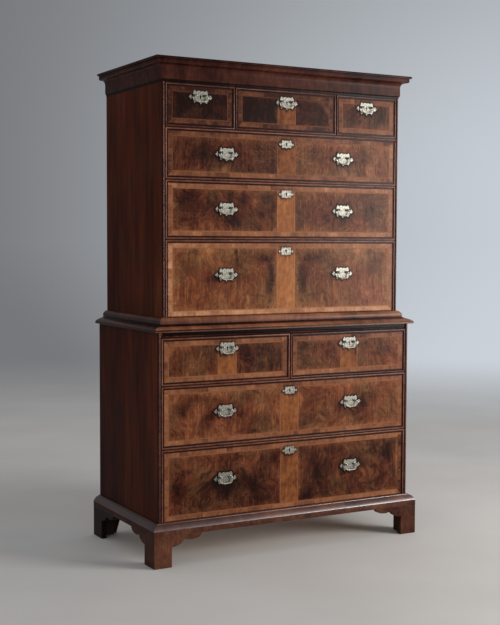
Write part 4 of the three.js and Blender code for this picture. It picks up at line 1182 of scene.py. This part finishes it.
class Front:
    """The veneered face of one drawer: a grid whose cells belong to border, feather lines, panels or band."""

    def __init__(self, name, face, plates, key, seed):
        self.name, self.seed, self.plates = name, seed, plates
        self.left, self.right, self.low, self.high = face
        self.middle = middle = (self.left + self.right) / 2
        self.edge = BORDER_WIDTH + 2 * FEATHER_WIDTH
        self.banded = name not in NO_BAND
        left_panel, right_panel, *self.border_tones, self.band_tone = DRAWER_TONES_AND_SHADE[name]
        self.panel_tones = (left_panel, right_panel)
        self.outlines = [dense(bat_wing(width, height)) for x, z, width, height in plates]
        self.key_box = (middle - KEY_BLOCK / 2, middle + KEY_BLOCK / 2, key - KEY_BLOCK, key + KEY_BLOCK)
        depths = [0, EDGE_SHADE_WIDTH, BORDER_WIDTH, BORDER_WIDTH + FEATHER_WIDTH, self.edge]
        inner = self.key_box[:2]
        if self.banded:
            inner = [middle - BAND_HALF, middle - BAND_HALF + BAND_LINE, *inner,
                     middle + BAND_HALF - BAND_LINE, middle + BAND_HALF]
        columns = [self.left + depth for depth in depths] + [*inner]
        columns += [self.right - depth for depth in reversed(depths)]
        rows = [self.low + depth for depth in depths] + [*self.key_box[2:]]
        rows += [self.high - depth for depth in reversed(depths)]
        reach = [(x, z, width / 2 + HALO_MARGIN, height / 2 + HALO_MARGIN) for x, z, width, height in plates]
        self.columns = grid_lines(columns, [(x - wide, x + wide) for x, z, wide, tall in reach])
        self.rows = grid_lines(rows, [(z - tall, z + tall) for x, z, wide, tall in reach])

    def depths(self, x, z):
        """How far a place lies from the nearer side edge, and from the nearer of the lower and upper edge."""
        return min(x - self.left, self.right - x), min(z - self.low, self.high - z)

    def kind(self, x, z):
        """Which veneer covers a place, and whether its strip stands upright."""
        beside, above = self.depths(x, z)
        depth = min(beside, above)
        upright = beside < above
        across = abs(x - self.middle)
        if depth < BORDER_WIDTH:
            return "border", upright
        if depth < self.edge:
            outer = depth < BORDER_WIDTH + FEATHER_WIDTH
            return ("feather_up" if outer == upright else "feather_down"), upright
        if self.banded and across < BAND_HALF:
            return ("line" if across > BAND_HALF - BAND_LINE else "band"), upright
        return "panel", upright

    def panel_of(self, x):
        """The seam, half width and direction of the panel at a place."""
        if not self.banded:
            return self.middle, self.middle - self.left - self.edge, 1
        side = -1 if x < self.middle else 1
        outer = (self.left + self.edge) if side < 0 else (self.right - self.edge)
        inner = self.middle + side * BAND_HALF
        return (outer + inner) / 2, abs(outer - inner) / 2, -side

    def plate_dirt_and_shadow(self, x, z):
        """The dirt that the plates on the front leave round them, and their painted shadow."""
        total = 0.0
        reach_x, reach_z, strength = HANDLE_SMUDGE
        for (centre_x, centre_z, width, height), outline in zip(self.plates, self.outlines):
            across, up = x - centre_x, z - centre_z
            if abs(across) <= width and abs(up) <= width:
                total += strength * math.exp(-(across / reach_x) ** 2 - (up / reach_z) ** 2)
                total += halo_shadow_and_dirt(x, z, outline, (centre_x, centre_z))
        return total

    def panel_corner(self, x, z, centre_x):
        """Grain place and tone in a panel, whose leaves are book-matched or slipped."""
        s = self.seed
        seam, half, turn = self.panel_of(centre_x)
        is_right = self.banded and centre_x > self.middle
        above = z - self.low - self.edge
        rim = min(half - abs(x - seam), above, self.high - self.edge - z)
        shade = self.panel_tones[is_right] + RIM_TONE * math.exp(-(rim / RIM_REACH) ** 2)
        shade += patch_tone(FIGURE_AND_SHEEN_SHARES[self.name][is_right], turn * (x - seam) / half,
                            above / (self.high - self.low - 2 * self.edge), (abs(x - seam), z, s))
        shift = LEAF_SHIFT if is_right and self.name not in BOOK_MATCHED else 0.0
        return (turn * (x - seam) + s, z + s + shift), shade

    def border_tone(self, upright, x, z):
        left, right, top, bottom = self.border_tones
        if upright:
            return left if x < self.middle else right
        return bottom if z < (self.low + self.high) / 2 else top

    def corner(self, kind, upright, x, z, centre_x):
        """Grain place and tone of one corner of a cell."""
        s = self.seed
        if kind == "panel":
            return self.panel_corner(x, z, centre_x)
        if kind == "border":
            # Painted shade along the drawer's edge
            dirt = EDGE_PAINTED_SHADE if min(self.depths(x, z)) < EDGE_SHADE_WIDTH / 2 else 0.0
            return ((z + s, x + s) if upright else (x + s, z + s)), self.border_tone(upright, x, z) + dirt
        if kind.startswith("feather"):
            slant = 1 if kind == "feather_up" else -1
            return (((x + slant * z) * math.sqrt(0.5) + s, (z - slant * x) * math.sqrt(0.5) + s),
                    self.border_tone(upright, x, z) + FEATHER_TONE)
        return (x + s, z + s), self.band_tone + (LINE_TONE if kind == "line" else 0.0)

    def cell(self, points):
        """The kind, grain places and tones of one flat cell of (x, z) corners."""
        centre_x, centre_z = (sum(values) / len(points) for values in zip(*points))
        kind, upright = self.kind(centre_x, centre_z)
        corners = [self.corner(kind, upright, x, z, centre_x) for x, z in points]
        shades = [shade + self.plate_dirt_and_shadow(x, z) for (place, shade), (x, z) in zip(corners, points)]
        return kind, [place for place, shade in corners], shades

    def ring(self, box):
        """The outline of a box of the grid, through every grid line that meets it."""
        left, right, low, high = box
        line = [(x, low) for x in self.columns if left <= x <= right]
        line += [(right, z) for z in self.rows if low < z <= high]
        line += [(x, high) for x in reversed(self.columns) if left <= x < right]
        return line + [(left, z) for z in reversed(self.rows) if low < z < high]

    def cut_grid(self):
        """The grid's cells but for the key's block; those on the mitres of the border are cut in two."""
        left, right, low, high = self.key_box
        cells = []
        for x0, x1 in zip(self.columns[:-1], self.columns[1:]):
            for z0, z1 in zip(self.rows[:-1], self.rows[1:]):
                x, z = (x0 + x1) / 2, (z0 + z1) / 2
                corners = [(x0, z0), (x1, z0), (x1, z1), (x0, z1)]
                beside, above = self.depths(x, z)
                if left <= x <= right and low <= z <= high:
                    continue
                if abs(beside - above) < EASE / 2 and beside < self.edge:
                    rising = (x < self.middle) == (z < (self.low + self.high) / 2)
                    a, b, c, d = corners if rising else corners[1:] + corners[:1]
                    cells += [[a, b, c], [a, c, d]]
                else:
                    cells.append(corners)
        return cells


LOOK_OF_KIND = {"panel": 0, "border": 1, "band": 2, "line": 3, "feather_up": 3, "feather_down": 3}


def veneer_face(name, front, face, plates, key, seed):
    """The sheet of veneers on one drawer front, with the key's hole through it."""
    sheet = Front(name, face, plates, key, seed)
    back = front + VENEER
    index_of, points, faces, cells = {}, [], [], []

    def at(x, z, y):
        spot = (round(x, MERGE_DIGITS), round(z, MERGE_DIGITS), y)
        if spot not in index_of:
            index_of[spot] = len(points)
            points.append((x, y, z))
        return index_of[spot]

    hole = [(sheet.middle + x, key + z) for x, z in keyhole(KEYHOLE_EASE)]
    block, rim = sheet.ring(sheet.key_box), sheet.ring(face)
    round_hole = [[(block + hole)[corner] for corner in cap] for cap in caps_of((block, hole))]
    for corners in sheet.cut_grid() + round_hole:
        cells.append(sheet.cell(corners))
        faces.append([at(x, z, front) for x, z in corners])
    # The veneer's edges and back take the quirks' painted shade, as in the gap round the drawer
    for loop in (rim, hole):
        for (x0, z0), (x1, z1) in zip(loop, loop[1:] + loop[:1]):
            faces.append([at(x0, z0, front), at(x1, z1, front), at(x1, z1, back), at(x0, z0, back)])
            places = [(x0 + z0, 0), (x1 + z1, 0), (x1 + z1, VENEER), (x0 + z0, VENEER)]
            cells.append(("border", places, [QUIRK_PAINTED_SHADE] * 4))
    for cap in caps_of((rim, hole)):
        faces.append([at(*(rim + hole)[corner], back) for corner in cap])
        cells.append(("border", [(0.0, 0.0)] * 3, [QUIRK_PAINTED_SHADE] * 3))
    kinds, places, shades = zip(*cells)
    shape = Shape()
    add_outward(shape, points, faces, places, [LOOK_OF_KIND[kind] for kind in kinds], shades)
    obj = piece(shape, "veneer_" + name, "drawer_" + name, [PANEL, BORDER, BAND, FEATHER],
                sharp=0)
    front_map(obj, face)


def front_map(obj, face):
    """A second map that spreads the whole front over the square, for a finer picture of the front."""
    left, right, low, high = face
    mesh = obj.data
    layer = mesh.uv_layers.new(name="OFBake")
    for loop in mesh.loops:
        point = mesh.vertices[loop.vertex_index].co
        layer.data[loop.index].uv = ((point.x - left) / (right - left), (point.z - low) / (high - low))


# Drawer boxes
def pins(shape, levels, root, tip, low_x, high_x):
    """Pins between tails: each pair of levels is one pin at its root, narrower at its tip."""
    for index in range(0, len(levels), 2):
        low, high = levels[index], levels[index + 1]
        first = 0 if index == 0 else TAIL_FLARE
        last = 0 if index + 2 == len(levels) else TAIL_FLARE
        outline = [(root, low), (tip, low + first), (tip, high - last), (root, high)]
        prism(shape, outline, seen_from_side, low_x, high_x)


def tail_ranges(low, high):
    """Ranges of height for the tails between two levels."""
    count = max(2, round((high - low) / TAIL_PITCH))
    step = (high - low) / count
    return [tuple(low + step * (index + share) for share in TAIL_SHARES) for index in range(count)]


def tail_line(root, tip, ranges):
    """The zigzag of a row of tails, upwards, as (y, z) pairs."""
    line = []
    for low, high in ranges:
        line += [(root, low), (tip, low - TAIL_FLARE), (tip, high + TAIL_FLARE), (root, high)]
    return line


def tray(name, front, face, key):
    """The drawer behind its veneer: front board, dovetailed sides and back, and the bottom."""
    left, right, low, high = face
    floor = low + RUNNING_GAP - DRAWER_GAP
    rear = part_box("drawer_" + name)[1].y
    back = rear - DRAWER_BACK
    inside = front + FRONT_THICKNESS
    top, back_top = high - SIDE_DROP, high - BACK_DROP
    under, over = floor + BOTTOM_RAISE, floor + BOTTOM_RAISE + BOTTOM_THICKNESS
    near, far = left + SIDE_THICKNESS, right - SIDE_THICKNESS
    front_tails = tail_ranges(low + SIDE_DROP, top)
    rear_tails = tail_ranges(over, back_top)
    hole = [((left + right) / 2 + x, key + z) for x, z in keyhole(KEYHOLE_EASE)]
    shape = Shape()
    slab = [(left, low), (right, low), (right, high), (left, high)]
    inner = [(near, low), (far, low), (far, high), (near, high)]
    # The front board's edges and keyhole walls take the dark pine as painted shade in the gaps
    prism(shape, slab, seen_from_front, front + VENEER, front + LAP, 0, hole, 2)
    prism(shape, inner, seen_from_front, front + LAP, inside, 0, hole, 2)
    side = [(back, floor), (inside, floor), *tail_line(inside, front + LAP, front_tails), (inside, top),
            (back, top), (back, back_top), *reversed(tail_line(back, rear, rear_tails))]
    front_levels = [low, *[level for pair in front_tails for level in pair], high]
    rear_levels = [under, *[level for pair in rear_tails for level in pair], back_top]
    for low_x, high_x in ((left, near), (far, right)):
        prism(shape, side, seen_from_side, low_x, high_x, 1)
        pins(shape, front_levels, inside, front + LAP, low_x, high_x)
        pins(shape, rear_levels, back, rear, low_x, high_x)
    board(shape, (near, back, under), (far, rear, back_top))
    planks = max(1, round((far - near) / PLANK_WIDTH))
    width = (far - near) / planks
    for plank in range(planks):
        start = near + plank * width
        board(shape, (start, inside, under), (start + width, back, over), 1)
    piece(shape, "tray_" + name, "drawer_" + name, [PINES["x"], PINES["y"], AGED_AND_SHADED_PINE],
          ["drawer_" + name], EASE)


# Brasses
PLATE_WIDTH = 0.098
PLATE_HEIGHT = 0.050
PLATE_THICKNESS = 0.0016
ESCUTCHEON_WIDTH = 0.070
ESCUTCHEON_HEIGHT = 0.033
ESCUTCHEON_THICKNESS = 0.0014
ESCUTCHEON_DROP = 0.0315
ESCUTCHEON_PIN = 0.024
KEY_WIDTH = 0.0032
KEY_HEIGHT = 0.0125
KEY_HEAD = 0.0054
KEY_STEPS = 16
KEYHOLE_EASE = 0.0003
PLATE_BEVEL = 0.0004
POMMEL_SPREAD = 0.039
POMMEL_RISE = 0.0045
POMMEL_RADIUS = 0.0046
STAND_OFF = 0.0094
POMMEL_TURN_SHARE = 0.82
POMMEL_STEPS = 10
POINT_RADIUS = 0.0001
BAT_WING_STEPS = 6
METAL_SEGMENTS = 1
POST_SIDES = 24
BAIL_DROP = 0.0205
BAIL_GAP = 0.0006
PIN_RADIUS = 0.0014
PIN_LENGTH = 0.0036
GRIP_RADIUS = 0.0023
BAIL_SIDES = 14
BAIL_STEPS = 6
BAT_WING_SHARES = {
    "notch": [(0, 0.76)],
    "lobe": [(0.03, 0.90), (0.18, 0.88)],
    "valley": [(0.29, 0.86), (0.33, 0.74)],
    "horn_inner": [(0.45, 0.97)],
    "horn_outer": [(0.57, 0.88), (0.57, 0.60)],
    "shoulder": [(0.58, 0.10), (0.67, 0.07)],
    "upper_barb": [(0.74, 0.36)],
    "wing_tip": [(0.84, 0.24), (0.93, -0.02)],
    "lower_barb": [(0.84, -0.12), (0.75, -0.34)],
    "neck": [(0.66, -0.06)],
    "hip": [(0.58, -0.12), (0.57, -0.56)],
    "corner": [(0.47, -0.84)],
    "apron": [(0.4, -0.62), (0.22, -0.66)],
    "finial": [(0.06, -0.7), (0, -1)],
}
BAIL_ROUTE_SHARES = [(0, 1), (0.42, 0.985), (0.8, 0.82), (0.99, 0.46), (1, 0.16), (0.95, 0)]

# A turned post, as (radius, y) pairs behind its round head: neck, collar and the shank's start
NECK_PROFILE = [(0.0026, -0.0048), (0.0030, -0.0040), (0.0050, -0.0032), (0.0050, -0.0022), (0.0044, -0.0016),
                (0.0020, -0.0010)]
BLIND_END_PROFILE = [(0.0020, 0.0175), (POINT_RADIUS, 0.0178)]
NUT_PROFILE = [(0.0020, 0.0210), (0.0060, 0.0210), (0.0062, 0.0216), (0.0062, 0.0244), (0.0058, 0.0250),
               (0.0022, 0.0250), (0.0018, 0.0262), (POINT_RADIUS, 0.0264)]
PIN_PROFILE = [(0.0014, 0.0), (0.0013, -0.0006), (0.0008, -0.0010), (POINT_RADIUS, -0.0011)]


def bat_wing(width, height):
    half = []
    for sweep in BAT_WING_SHARES.values():
        points = [(a * width / 2, b * height / 2) for a, b in sweep]
        half += curve(half[-1], *points, BAT_WING_STEPS) if len(points) == 2 else points
    return half + [(-x, z) for x, z in reversed(half[1:-1])]


def dense(outline):
    """The outline with more points, no further apart than the fine cells."""
    points = []
    for (x0, z0), (x1, z1) in zip(outline, outline[1:] + outline[:1]):
        count = max(1, math.ceil(math.dist((x0, z0), (x1, z1)) / FINE_CELL * 2))
        points += [(x0 + (x1 - x0) * step / count, z0 + (z1 - z0) * step / count) for step in range(count)]
    return points


def keyhole(grow=0.0):
    """A slot with a round head, about its own middle."""
    top, head, slot = KEY_HEIGHT / 2, KEY_HEAD / 2, KEY_WIDTH / 2
    meet = math.asin(slot / head)
    outline = [(-slot - grow, -top - grow), (slot + grow, -top - grow)]
    for step in range(KEY_STEPS + 1):
        angle = meet + (2 * math.pi - 2 * meet) * step / KEY_STEPS
        radius = head + grow
        outline.append((radius * math.sin(angle), top - head - radius * math.cos(angle)))
    return outline


def sheet_metal(outlines, thickness):
    """Flat metal with rounded edges and any holes, in the XZ plane, its back at y = 0."""
    data = bpy.data.curves.new("outline", "CURVE")
    data.dimensions = "2D"
    data.fill_mode = "BOTH"
    data.extrude = thickness / 2 - PLATE_BEVEL
    data.bevel_depth = PLATE_BEVEL
    data.bevel_resolution = METAL_SEGMENTS
    data.offset = -PLATE_BEVEL
    for outline in outlines:
        spline = data.splines.new("POLY")
        spline.points.add(len(outline) - 1)
        for point, (x, z) in zip(spline.points, outline):
            point.co = (x, z, 0, 1)
        spline.use_cyclic_u = True
    flat = new_object("outline", data)
    mesh = bpy.data.meshes.new_from_object(flat.evaluated_get(bpy.context.evaluated_depsgraph_get()))
    bpy.data.objects.remove(flat)
    mesh.transform(Matrix.Translation((0, -thickness / 2, 0)) @ Matrix.Rotation(math.pi / 2, 4, "X"))
    return mesh


def post_profile(blind):
    """A turned post, as (radius, y) pairs from its round head to its end in the wood or its nut."""
    angles = [math.pi * POMMEL_TURN_SHARE * step / POMMEL_STEPS for step in range(1, POMMEL_STEPS + 1)]
    head = [(POMMEL_RADIUS * math.sin(angle), -STAND_OFF - POMMEL_RADIUS * math.cos(angle))
            for angle in angles]
    end = BLIND_END_PROFILE if blind else NUT_PROFILE
    return [(POINT_RADIUS, -STAND_OFF - POMMEL_RADIUS), *head, *NECK_PROFILE, *end]


def join_meshes(name, meshes, looks):
    """One mesh from several, each with its own material."""
    points, faces, numbers = [], [], []
    for number, mesh in enumerate(meshes):
        first = len(points)
        points += [tuple(vertex.co) for vertex in mesh.vertices]
        faces += [[first + index for index in face.vertices] for face in mesh.polygons]
        numbers += [number] * len(mesh.polygons)
    joined = new_mesh(name, points, faces, looks)
    joined.polygons.foreach_set("material_index", numbers)
    joined.polygons.foreach_set("use_smooth", [True] * len(joined.polygons))
    joined.set_sharp_from_angle(angle=math.radians(METAL_ANGLE))
    return joined


def shape_mesh(shape):
    return new_mesh("part", shape.points, shape.faces)


def plate_mesh(keyed):
    posts = Shape()
    for side in (-1, 1):
        turned(posts, post_profile(keyed), (side * POMMEL_SPREAD / 2, 0, POMMEL_RISE), POST_SIDES)
    flat = sheet_metal([bat_wing(PLATE_WIDTH, PLATE_HEIGHT)] + [keyhole()] * keyed, PLATE_THICKNESS)
    return join_meshes("plate", [flat, shape_mesh(posts)], [PLATE_BRASS, BAIL_BRASS])


def smooth_line(points):
    """Points along a Catmull-Rom curve through the given points."""
    line = []
    padded = [points[0], *points, points[-1]]
    for index in range(1, len(padded) - 2):
        a, b, c, d = (Vector(point) for point in padded[index - 1:index + 3])
        for step in range(BAIL_STEPS):
            t = step / BAIL_STEPS
            line.append(0.5 * (2 * b + (c - a) * t + (2 * a - 5 * b + 4 * c - d) * t * t
                               + (3 * b - a - 3 * c + d) * t ** 3))
    return line + [Vector(points[-1])]


def bail_mesh():
    """Pins that turn in the pommels, swan-neck arms and a grip that thickens to the middle."""
    face = POMMEL_SPREAD / 2 + POMMEL_RADIUS
    arm = face + BAIL_GAP + PIN_RADIUS
    half = [(arm * a, -BAIL_DROP * b) for a, b in BAIL_ROUTE_SHARES]
    line = smooth_line([(-x, z) for x, z in reversed(half[1:])] + half)
    pin_end = face - PIN_LENGTH
    line = [Vector((-pin_end, 0)), *line, Vector((pin_end, 0))]
    rings = []
    for index, point in enumerate(line):
        along = (line[min(index + 1, len(line) - 1)] - line[max(index - 1, 0)]).normalized()
        across = Vector((-along.y, along.x))
        depth = min(1.0, max(0.0, -point.y / BAIL_DROP))
        radius = PIN_RADIUS + (GRIP_RADIUS - PIN_RADIUS) * depth ** 2
        ring = []
        for side in range(BAIL_SIDES):
            angle = 2 * math.pi * side / BAIL_SIDES
            place = point + across * radius * math.cos(angle)
            ring.append((place.x, radius * math.sin(angle), place.y))
        rings.append(ring)
    shape = Shape()
    loft(shape, rings)
    return join_meshes("bail", [shape_mesh(shape)], [BAIL_BRASS])


def escutcheon_mesh():
    tacks = Shape()
    for side in (-1, 1):
        turned(tacks, PIN_PROFILE, (side * ESCUTCHEON_PIN, -ESCUTCHEON_THICKNESS, 0), POST_SIDES // 2)
    flat = sheet_metal([bat_wing(ESCUTCHEON_WIDTH, ESCUTCHEON_HEIGHT), keyhole()], ESCUTCHEON_THICKNESS)
    return join_meshes("escutcheon", [flat, shape_mesh(tacks)], [PLATE_BRASS, BAIL_BRASS])


def place_metal(name, mesh, place, body, replaces=()):
    obj = new_object(name, mesh)
    obj.location = place
    settle(obj, body, replaces)


# Locks
LOCK_HALF = 0.033
LOCK_PLATE = 0.0016
LOCK_LOW = 0.022
LOCK_CASE_HALF = 0.024
LOCK_CASE_LOW = 0.017
LOCK_CASE_HIGH = 0.019
LOCK_DEPTH = 0.009
SELVEDGE_SET_BACK = 0.009
SELVEDGE_THICKNESS = 0.0012
SCREW_INSET = 0.004
SCREW_PROFILE = [(0.0028, 0.0), (0.0026, 0.0008), (0.0016, 0.0014), (POINT_RADIUS, 0.0016)]
SCREW_SIDES = 10


def lock(name, front, middle, key, top):
    """An iron lock screwed behind the front, with its plate let into the front's top edge."""
    inside = front + FRONT_THICKNESS
    seat = inside + LOCK_PLATE
    left, right = middle - LOCK_HALF, middle + LOCK_HALF
    shape = Shape()
    board(shape, (left, inside, key - LOCK_LOW), (right, seat, key + LOCK_LOW))
    board(shape, (middle - LOCK_CASE_HALF, seat, key - LOCK_CASE_LOW),
          (middle + LOCK_CASE_HALF, inside + LOCK_DEPTH, key + LOCK_CASE_HIGH))
    board(shape, (left, front + SELVEDGE_SET_BACK, top - SELVEDGE_THICKNESS), (right, seat, top))
    for x in (SCREW_INSET - LOCK_HALF, LOCK_HALF - SCREW_INSET):
        for z in (SCREW_INSET - LOCK_LOW, LOCK_LOW - SCREW_INSET):
            turned(shape, SCREW_PROFILE, (middle + x, seat, key + z), SCREW_SIDES)
    piece(shape, "lock_" + name, "drawer_" + name, [IRON], bevel=EASE / 2)


SEED_STEP = 3.7


def middle_of(node):
    low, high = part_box(node)
    return (low + high) / 2


def build_drawers():
    plain, keyed, grip, shield = plate_mesh(False), plate_mesh(True), bail_mesh(), escutcheon_mesh()
    names = [name for row in LOWER_ROWS + UPPER_ROWS for name in row]
    for number, name in enumerate(names):
        front = LOWER_FRONT if name.startswith("lower") else UPPER_FRONT
        left, right, low, high = opening_of(name)
        face = (left + DRAWER_GAP, right - DRAWER_GAP, low + DRAWER_GAP, high - DRAWER_GAP)
        body = "drawer_" + name
        middle = (left + right) / 2
        is_long = "long" in name
        suffixes = ("_left", "_right") if is_long else ("",)
        centres = {suffix: middle_of("plate_" + name + suffix) for suffix in suffixes}
        key = face[3] - ESCUTCHEON_DROP if is_long else centres[""].z
        plates = [(centre.x, centre.z, PLATE_WIDTH, PLATE_HEIGHT) for centre in centres.values()]
        if is_long:
            plates.append((middle, key, ESCUTCHEON_WIDTH, ESCUTCHEON_HEIGHT))
        veneer_face(name, front, face, plates, key, SEED_STEP * (number + 1))
        tray(name, front, face, key)
        lock(name, front, middle, key, face[3])
        if is_long:
            place_metal("escutcheon_" + name, shield, (middle, front, key), body)
        for suffix, centre in centres.items():
            place = Vector((centre.x, front, centre.z))
            handle = name + suffix
            plate = plain if is_long else keyed
            place_metal("handle_plate_" + handle, plate, place, body, ["plate_" + handle])
            place_metal("swing_bail_" + handle, grip, place + Vector((0, -STAND_OFF, POMMEL_RISE)),
                        "bail_" + handle, ["bail_" + handle])


def dress_kept_nodes():
    """The planks of the backs stand upright, and the bottom board lies across."""
    for name, look in (("lower_back", PINES["z"]), ("upper_back", PINES["z"]),
                       ("upper_bottom_board", PINES["x"])):
        materials = frame["nodes"][name].data.materials
        materials.clear()
        materials.append(look)


# Stage
FLOOR_REACH = 600.0
FLOOR_FADE = (2.2, 7.5)
WALL_DARK = tone(118, 119, 122)
WALL_PALE = tone(202, 209, 216)
WALL_REACH = (0.22, 0.74)
WALL_RISE = (0.05, 0.30)
HIGH_WALL_SHARE = 0.5
FLOOR_STOPS = [(0.3, tone(220, 215, 209)), (0.7, tone(230, 225, 219))]
FLOOR_CLOUDS = 1.5
FLOOR_GLOSS = 0.7
FLOOR_SPECULAR = 0.2
FLOOR_BUMP = 0.05
FLOOR_RELIEF = 0.001
FILL_COLOUR = tone(222, 226, 232)
FILL_STRENGTH = 0.5
LAMP_PLACE = (3.15, -3.2, 1.32)
LAMP_TARGET = (0.0, -0.2, 0.85)
LAMP_SIZE = (1.9, 1.8)
LAMP_POWER = 188.0
LAMP_COLOUR = (1.0, 0.99, 0.97)


def floor():
    """A pale floor that turns to the horizon's colour far away, for the camera and reflections."""
    g = Surface("pale_floor", specular=FLOOR_SPECULAR)
    place = g.coordinates()
    cloud = g.noise(place, (FLOOR_CLOUDS, FLOOR_CLOUDS), FINE_DETAIL)
    look = g.finish(g.ramp(cloud, FLOOR_STOPS), FLOOR_GLOSS, cloud, FLOOR_BUMP, FLOOR_RELIEF)
    away = g.add("VectorMath", {0: place}, operation="LENGTH").outputs["Value"]
    toward = g.parts(g.vector("NORMALIZE", place))[0]
    far = g.add("Emission", {0: g.wall(toward), 1: 1.0}).outputs[0]
    share = g.math("MULTIPLY", g.spread(away, *FLOOR_FADE, ease="SMOOTHSTEP"), g.seen())
    g.put(g.tree.nodes["Material Output"].inputs[0], g.blend(share, g.shader.outputs[0], far))
    corners = [(x * FLOOR_REACH, y * FLOOR_REACH, 0) for x, y in ((-1, -1), (1, -1), (1, 1), (-1, 1))]
    new_object("floor", new_mesh("floor", corners, [[0, 1, 2, 3]], [look]))


def world():
    """A wall-grey surround for the camera and reflections, and a soft fill for surfaces."""
    made = bpy.data.worlds.new("studio")
    g = Nodes(made)
    g.tree.nodes.clear()
    toward = g.parts(g.coordinates("Generated"))
    low_wall = g.wall(toward[0])
    high_wall = g.mix(HIGH_WALL_SHARE, WALL_DARK, low_wall)
    wall = g.mix(g.spread(toward[2], *WALL_RISE, ease="SMOOTHSTEP"), low_wall, high_wall)
    fill = g.add("Background", {0: FILL_COLOUR, 1: FILL_STRENGTH}).outputs[0]
    shown = g.add("Background", {0: wall, 1: 1.0}).outputs[0]
    g.add("OutputWorld", {0: g.blend(g.seen(), fill, shown)})
    bpy.context.scene.world = made


def lamp():
    """A large soft window light from the front right."""
    data = bpy.data.lights.new("window", "AREA")
    data.shape = "RECTANGLE"
    data.size, data.size_y = LAMP_SIZE
    data.energy = LAMP_POWER
    data.color = LAMP_COLOUR
    obj = new_object("window", data)
    obj.location = LAMP_PLACE
    obj.rotation_mode = "QUATERNION"
    obj.rotation_quaternion = (Vector(LAMP_TARGET) - Vector(LAMP_PLACE)).to_track_quat("-Z", "Y")


CAMERA_PLACE = (-2.17754, -3.88356, 1.12022)
CAMERA_YAW = math.radians(28.98758)
CAMERA_PITCH = math.radians(-3.43084)
CAMERA_ROLL = math.radians(0.19586)
CAMERA_LENS = 67.335
CAMERA_SENSOR = 36.0


def camera():
    """The place, lens and turn of the photo's camera, as fitted to the chest's corners."""
    data = bpy.data.cameras.new("view")
    data.sensor_width = CAMERA_SENSOR
    data.lens = CAMERA_LENS
    flat = math.cos(CAMERA_PITCH)
    ahead = Vector((math.sin(CAMERA_YAW) * flat, math.cos(CAMERA_YAW) * flat, math.sin(CAMERA_PITCH)))
    level = Vector((math.cos(CAMERA_YAW), -math.sin(CAMERA_YAW), 0))
    upward = level.cross(ahead)
    right = math.cos(CAMERA_ROLL) * level + math.sin(CAMERA_ROLL) * upward
    top = math.cos(CAMERA_ROLL) * upward - math.sin(CAMERA_ROLL) * level
    obj = new_object("view", data)
    obj.matrix_world = Matrix.Translation(CAMERA_PLACE) @ Matrix((right, top, -ahead)).transposed().to_4x4()
    bpy.context.scene.camera = obj


def build():
    noise.seed_set(FIGURE_SEED)
    build_feet()
    build_base()
    build_waist()
    build_cornice()
    build_case()
    build_drawers()
    dress_kept_nodes()
    floor()
    world()
    lamp()
    camera()
    bpy.context.scene.view_settings.view_transform = "Standard"


build()
